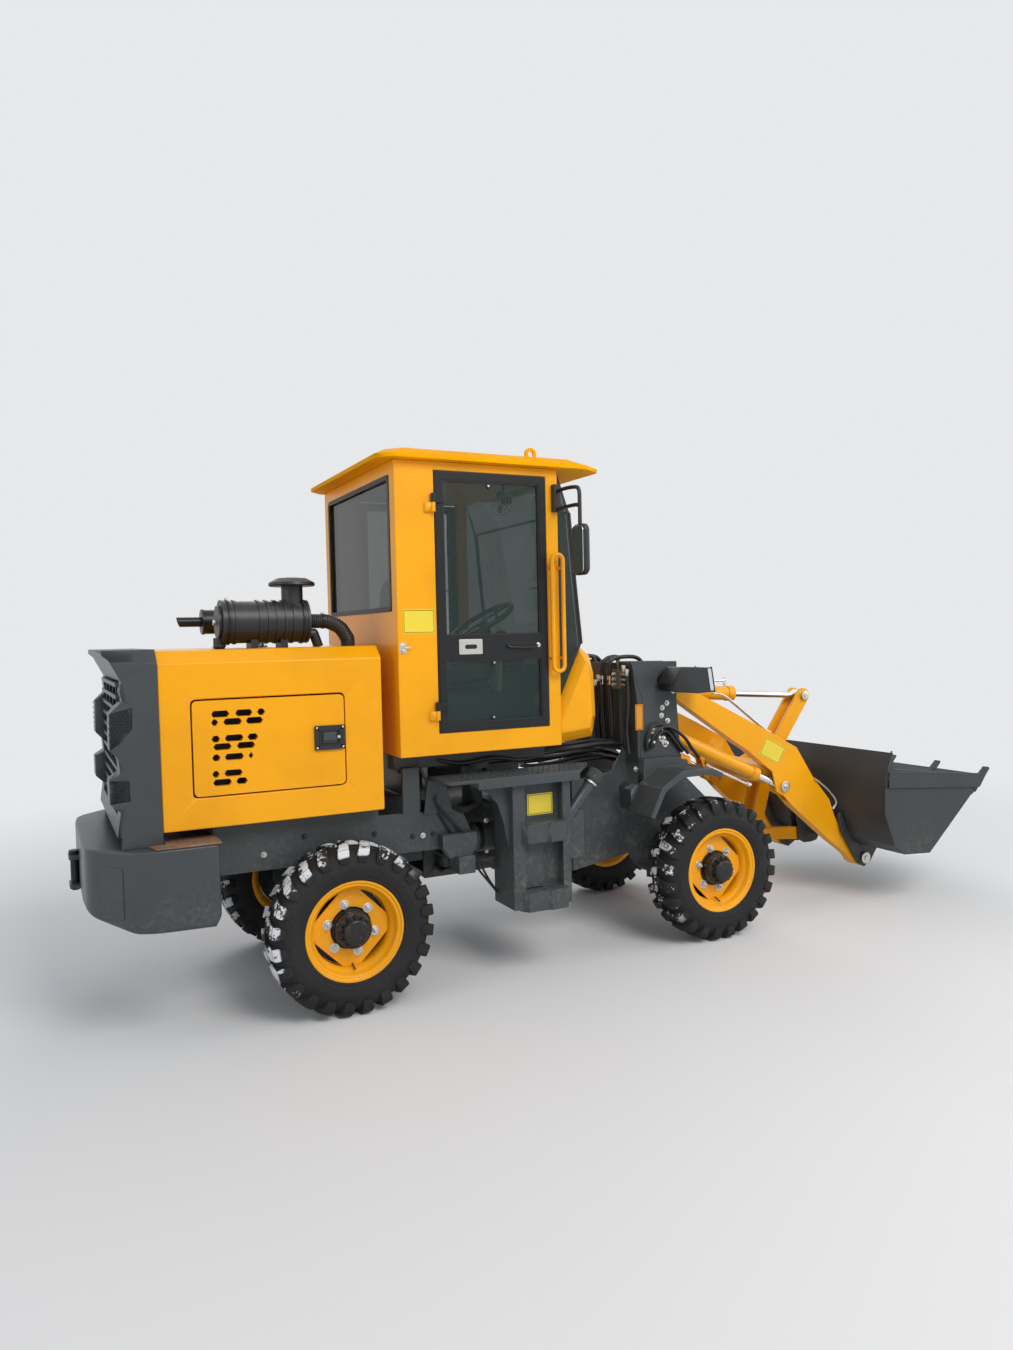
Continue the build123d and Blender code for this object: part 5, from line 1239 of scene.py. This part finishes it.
def valve_block():
    """The tray under the cab's floor with its valve block and couplings, a plate across behind them, and the
    two air tanks. The black tray and plate close the gap under the cab: partly parts, partly painted shade.
    """
    pile = Pile()
    # The black tray fills the gap under the cab's floor: partly a part, partly painted shade
    tray = [(-560, 1179.5), (-560, 1112), (-520, 1092), (30, 1092), (70, 1130), (70, 1179.5)]
    pile.add(slab(tray, 1, -400, 400, 6), 0)
    for y in (-330, -110, 110, 330):
        pile.add(slab([(-540, 1096), (-500, 1076), (10, 1076), (40, 1096)], 1, y - 12, y + 12, 3), 0)
    pile.add(slab(rounded(-150, 60, -170, 150, 10), 2, 1000, 1090, 6), 1)
    for i in range(6):
        y = -146 + 54 * i
        pile.add(lathe(((0, 17), (14, 17), (14, 13), (40, 13), (42, 10)), (60, y, 1030), FORWARDS, 6), 2)
        pile.add(lathe(((0, 17), (14, 17), (14, 13), (34, 13), (36, 10)), (60, y, 1066), FORWARDS, 6), 2)
        pile.add(lathe(((0, 15), (30, 15), (34, 10), (44, 6)), (-150, y, 1048), BACKWARDS, 14), 1)
    # A black plate across under the cab closes the gap behind the tray: partly a part, partly painted shade
    pile.add(slab(rounded(-420, 420, 930, 1179, 24), 0, -652, -644, 2), 0)
    for side in (-1, 1):
        pile.side = side
        tank = ((0, 28), (6, 56), (16, 72), (28, 76), (202, 76), (214, 72), (224, 56), (230, 28))
        pile.add(lathe(tank, (-345, 330, 690), FORWARDS, 40), 3)
        for x in (-300, -180):
            pile.add(lathe(((0, 75), (0, 79), (26, 79), (26, 75)), (x, 330, 690), FORWARDS, 40), 0)
        pile.add(lathe(((70, 14), (92, 14), (94, 8)), (-230, 330, 690), DOWN, 6), 2)
    pile.make("valve_block", "rear_frame", ["black_paint", "engine", "zinc", "slate"])


def frame_hoses():
    """Eleven hoses from the rear frame to the front frame, which bend with the pivot."""
    pile = Pile()
    for y, z, sag in ((-300, 1126, 0), (-270, 1112, 8), (-235, 1134, 4), (240, 1120, 6), (280, 1130, 0),
                      (-146, 1030, -26), (-92, 1066, -14), (-38, 1030, -30), (16, 1066, -10), (70, 1030, -22),
                      (124, 1066, -6)):
        wide = y + (y + 60) * 0.12
        path = [(70, y, z), (180, wide, z + sag), (340, wide, z + sag), (520, y, z + sag * 0.5 + 6),
                (680, y, z - 8), (780, y, z - 40)]
        pile.add(tube(smooth(path, 10), 12, 12))
    hoses = place_mesh("frame_hoses", pile.mesh("frame_hoses", ["hose"]))
    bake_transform(hoses, "rear_frame", "front_frame", (x_of(100), 0, 1.1), (x_of(640), 0, 1.1))


# Front frame and loader

# The three hoses on each side from the front frame to the lift cylinder
HOSES_BY_FENDER = (
    ((750, 440, 1085), (744, 448, 1150), (768, 452, 1215), (830, 452, 1232), (905, 450, 1208),
     (973, 448, 1118), (1040, 440, 1050)),
    ((770, 440, 1095), (776, 462, 1160), (830, 470, 1215), (901, 468, 1212), (996, 462, 1150),
     (1060, 450, 1080), (1120, 440, 1020)),
    ((790, 436, 1100), (820, 446, 1170), (880, 450, 1190), (940, 446, 1130), (1000, 438, 1062)))


def tower_trim():
    """Hoses, fittings and bolts of the tower, the lamps' lenses and the blank plate."""
    pile = Pile()
    for y, x, lean in ((-230, 880, 5), (-150, 762, -6), (160, 786, 6), (236, 892, -4)):
        side = math.copysign(1, y)
        path = [(650, y + lean, 1100), (646, y - lean, 1250), (640, y, 1420), (640, y, 1560),
                (672, y, 1613), (x * 0.5 + 370, y, 1620), (x - 12, y + side * 6, 1580),
                (x, side * 244, 1500), (x, side * 262, 1454)]
        pile.add(tube(smooth(path, 8), 12, 14), 0)
        pile.add(lathe(((0, 17), (16, 17), (18, 14), (34, 14)), (x, side * 275, 1450), (0, -side, 0), 6), 1)
        sleeve = ((0, 13.5), (30, 13.5), (30, 16), (52, 16), (52, 13))
        pile.add(lathe(sleeve, (640, y, 1462), UP, 12), 1)
    for y, low, high in ((-398, 1070, 1540), (-366, 1090, 1560), (-98, 1100, 1500), (-62, 1110, 1470),
                         (96, 1100, 1500), (372, 1080, 1550)):
        path = [(652, y, low), (645, y + 8, low + 140), (648, y - 6, 0.5 * (low + high) + 60), (648, y, high)]
        pile.add(tube(smooth(path, 8), 10, 12), 0)
        nut = ((-22, 11.5), (0, 11.5), (0, 15), (16, 15), (18, 11))
        pile.add(lathe(nut, (648, y, high), UP, 6), 1)
    pile.add(slab(rounded(-345, -262, 1440, 1552, 8), 0, 630, 664, 4), 5)
    for z in (1466, 1496, 1526):
        pile.add(lathe(((0, 12), (14, 12), (16, 9), (24, 9)), (630, -304, z), BACKWARDS, 6), 1)
        pile.add(lathe(((0, 10), (30, 10), (34, 6)), (647, -345, z), RIGHT, 12), 1)
    for side in (-1, 1):
        pile.side = side
        for path in HOSES_BY_FENDER:
            pile.add(tube(smooth(path, 8), 10, 12), 0)
        for x, z in ((790, 1130), (820, 1170), (862, 1150), (884, 1118), (800, 1200), (846, 1204)):
            pile.add(bolt((x, TOWER_SIDE, z), (0.1, 1, 0.1), 24), 1)
            pile.add(lathe(((0, 9), (26, 9), (28, 7)), (x, TOWER_SIDE, z), (0.1, 1, 0.1), 12), 1)
        for x, z in ((864, 1281), (903, 1351), (907, 1248), (870, 1326), (758, 983), (681, 983), (950, 1420)):
            pile.add(bolt((x, TOWER_SIDE, z), LEFT, 17), 1)
        for x, z in ((880, 1490), (890, 1192)):
            cap = ((0, 44), (6, 44), (8, 40), (8, 26), (12, 24), (14, 18))
            pile.add(lathe(cap, (x, TOWER_SIDE, z), LEFT, 32), 2)
        for i in range(14):
            y = 463 + 9.6 * i
            pile.add(tube([(1092, y, 1546), (1112, y, 1424)], 4.6, 8), 3)
        for y in (452, 594):
            pile.add(slab([(1084, 1560), (1096, 1558), (1120, 1414), (1108, 1412)], 1, y, y + 6, 1), 2)
        pile.add(slab([(1062, 1548), (1085, 1550), (1106, 1424), (1083, 1423)], 1, 599.5, 602.5, 1), 3)
        for i in range(13):
            z = 1430 + 9.4 * i
            x = 1096 - (z - 1486) * 0.16
            pile.add(tube([(x - 22, 602.5, z), (x, 602.5, z)], 1.6, 6), 3)
    pile.side = 1
    pile.add(slab(rounded(682, 735, 1206, 1354, 3), 1, -426.6, -424.5, 0.6), 4)
    pile.add(frame_plate(rounded(686, 731, 1210, 1350, 2), 2.5, 1, -427, -426.4), 2)
    pile.make("tower_trim", "front_frame", ["hose", "zinc", "black_paint", "lens", "plate", "engine"])


def boom_trim():
    """Blank labels, pin caps, pipes and weld beads of the arms."""
    pile = Pile()
    label = [(1691, 1096), (1847, 1017), (1783, 917), (1627, 993)]
    pile.both(slab(label, 1, ARM_SIDE - 0.5, ARM_SIDE + 1.2, 0.5), 2)
    pile.both(frame_plate(inset(ordered(label), 5), 2.2, 1, ARM_SIDE + 1, ARM_SIDE + 1.6), 3)
    for x, z, r, y in ((1829, 774, 33, 399), (2500, 240, 40, ARM_SIDE), (880, 1490, 46, ARM_SIDE)):
        cap = ((0, r), (4, r), (6, r - 3), (6, r * 0.6), (9, r * 0.55), (9, r * 0.3))
        pile.both(lathe(cap, (x, y, z), LEFT, 36), 1)
    pile.both(bolt((1829, 408, 774), LEFT, 17), 1)
    for y in (300, 282):
        path = [(1342, y, 1382), (1422, y, 1366), (1507, y, 1314), (1722, y, 1157), (1800, y, 1110)]
        pile.both(tube(smooth(path, 6), 6, 10), 1)
    path = [(2080, 393, 800), (2123, 398, 774), (2200, 400, 712), (2258, 398, 650), (2262, 396, 615),
            (2244, 390, 586)]
    pile.both(tube(smooth(path, 6), 7, 10), 1)
    for t in turns(40):
        spot = (1850 + 74 * math.cos(t), 313, 838 + 74 * math.sin(t))
        pile.both(lathe(((-4, 3), (-2, 6), (2, 6), (4, 3)), spot, (-math.sin(t), 0, math.cos(t)), 8), 0)
    pile.make("boom_trim", "boom", ["arm", "zinc", "label", "black_paint"])


def tilt_pipe():
    """The pipe along the tilt cylinder, with its fittings."""
    pile = Pile()
    path = [(1430, 0, 1443), (1446, 0, 1446), (1560, 0, 1440), (1670, 0, 1435), (1683, 0, 1440)]
    pile.add(tube(smooth(path, 6), 9, 12), 0)
    pile.add(lathe(((-16, 14), (10, 14), (12, 10), (26, 10)), (1683, 0, 1432), UP, 6), 0)
    pile.add(lathe(((0, 12), (46, 12), (48, 15), (58, 15)), (1683, 0, 1436), (0.1, 0, -1), 12), 0)
    pile.make("tilt_pipe", "tilt_barrel", ["rod"])


def lift_pipes():
    """The pipe under each lift cylinder, with its fitting."""
    pile = Pile()
    for side in (-1, 1):
        pile.side = side
        path = [(1250, 340, 960), (1313, 330, 925), (1450, 330, 864), (1587, 330, 802), (1604, 334, 806)]
        pile.add(tube(smooth(path, 6), 8, 10), 0)
        pile.add(lathe(((-10, 13), (12, 13), (14, 10)), (1590, 332, 802), (0.9, 0, -0.42), 6), 0)
    pile.make("lift_pipes", "lift_barrels", ["rod"])


def rocker_caps():
    """Pin caps of the bell crank."""
    pile = Pile()
    for y in (-62, 62):
        way = (0, 1 if y > 0 else -1, 0)
        for x, z in ((2028, 914.5), (2320, 1308), (1875, 398)):
            pile.add(lathe(((0, 30), (9, 30), (11, 26), (11, 12), (16, 11)), (x, y * 1.08, z), way, 28), 0)
    pile.make("rocker_caps", "rocker", ["zinc"])


def bucket_trim():
    """Weld beads, bolts of the teeth and pin caps of the bucket."""
    pile = Pile()
    pile.both(tube([(2312, 771, 770), (2700, 771, 738), (3148, 771, 701)], 4, 8), 0)
    pile.both(tube([(2302, 784, 870), (2800, 784, 822), (3205, 784, 784)], 3, 8), 0)
    seam = [(2366, 993), (2319, 870), (2304, 750), (2304, 608), (2389, 408), (2476, 343), (2704, 326),
            (3124, 688)]
    pile.both(tube(lift(seam, 1, 754), 5, 8), 0)
    for i in range(5):
        y = (i - 2) * 375.0
        for x, z in ((3124, 719), (3150, 740)):
            pile.add(bolt((x, y, z), (-0.62, 0, 0.78), 20), 1)
    for y in (-424, 424):
        way = (0, 1 if y > 0 else -1, 0)
        pile.add(lathe(((-6, 38), (4, 38), (6, 34), (6, 16), (12, 15)), (2500, y, 240), way, 32), 1)
    pile.make("bucket_trim", "bucket", ["bucket", "zinc"])


PIECES = (wheels, counterweight, cowl_mesh, filter_trim, silencer, weight_board, hood_latches, cab_trim,
          blank_labels, grab_loops, mirror_sets, door_trim, cab_inside, seat, steps_trim, under_cab_hoses,
          valve_block, frame_hoses, tower_trim, boom_trim, tilt_pipe, lift_pipes, rocker_caps, bucket_trim)
for make_piece in PIECES:
    make_piece()

# CAD nodes whose edges are rounded: the least edge length, then the radius, in millimetres
EASED = {
    "engine_hood": ((400.0, 7.0), (60.0, 1.5)),
    "rear_cowl": ((90.0, 2.5),),
    "cab_shell": ((300.0, 5.0),),
    "cab_roof": ((60.0, 4.0),),
    "nose_cowl": ((60.0, 6.0),),
    "boom_arms": ((60.0, 3.0),),
    "rocker": ((80.0, 3.0),),
    "bucket": ((60.0, 2.5),),
    "front_fenders": ((60.0, 3.0),),
    "headlamps": ((60.0, 6.0),),
    "steps": ((60.0, 3.0),),
    "front_chassis": ((60.0, 2.5),),
    "rear_chassis": ((60.0, 2.5),),
}
for node, passes in EASED.items():
    eased(node, passes, (lambda x, y: x < -1750 and y > 560.2) if node == "engine_hood" else None)
for node in ("hood_door_right", "hood_door_left"):
    eased(node, (), lambda x, y: x < -1758.5 or x < -1700 and y > 563.2)


# Floor and world

BACKDROP = (0.80, 0.81, 0.82)
FLOOR_HALF = 30.0


def studio():
    """A pale floor that keeps the shadow, and a pale world that the camera sees nearly white."""
    points = [(x * FLOOR_HALF, y * FLOOR_HALF, 0) for x, y in ((-1, -1), (1, -1), (1, 1), (-1, 1))]
    mesh = bpy.data.meshes.new("floor")
    mesh.from_pydata(points, [], [(0, 1, 2, 3)])
    floor = bpy.data.objects.new("floor", mesh)
    bpy.context.scene.collection.objects.link(floor)
    s = Shade("pale_floor")
    s.set(base_color=(0.74, 0.74, 0.74), roughness=0.85)
    dx, dy = s.axis("X"), s.axis("Y")
    far = s.step((dx * dx + dy * dy).root(), 2.8, 7.5)
    path = s.tree.nodes.new("ShaderNodeLightPath")
    seen = Value(s, path.outputs["Is Camera Ray"]).higher(Value(s, path.outputs["Is Glossy Ray"]))
    seen = seen.higher(Value(s, path.outputs["Is Transmission Ray"]))
    glow = s.node("ShaderNodeEmission", {}, {"Color": BACKDROP, "Strength": 1.0})
    both = s.node("ShaderNodeMixShader", {}, {0: far * seen, 1: Value(s, s.surface.outputs[0]), 2: glow})
    s.tree.links.new(both.socket, s.tree.nodes["Material Output"].inputs["Surface"])
    mesh.materials.append(s.material)
    world = bpy.data.worlds.new("world")
    bpy.context.scene.world = world
    world.use_nodes = True
    tree = world.node_tree
    back = tree.nodes["Background"]
    back.inputs["Color"].default_value = (0.80, 0.84, 0.90, 1.0)
    back.inputs["Strength"].default_value = 0.55
    seen = tree.nodes.new("ShaderNodeBackground")
    seen.inputs["Color"].default_value = BACKDROP + (1.0,)
    path = tree.nodes.new("ShaderNodeLightPath")
    share = path.outputs["Is Camera Ray"]
    for ray in ("Is Glossy Ray", "Is Transmission Ray"):
        larger = tree.nodes.new("ShaderNodeMath")
        larger.operation = "MAXIMUM"
        tree.links.new(share, larger.inputs[0])
        tree.links.new(path.outputs[ray], larger.inputs[1])
        share = larger.outputs[0]
    mix = tree.nodes.new("ShaderNodeMixShader")
    tree.links.new(share, mix.inputs[0])
    tree.links.new(back.outputs[0], mix.inputs[1])
    tree.links.new(seen.outputs[0], mix.inputs[2])
    tree.links.new(mix.outputs[0], tree.nodes["World Output"].inputs["Surface"])


studio()
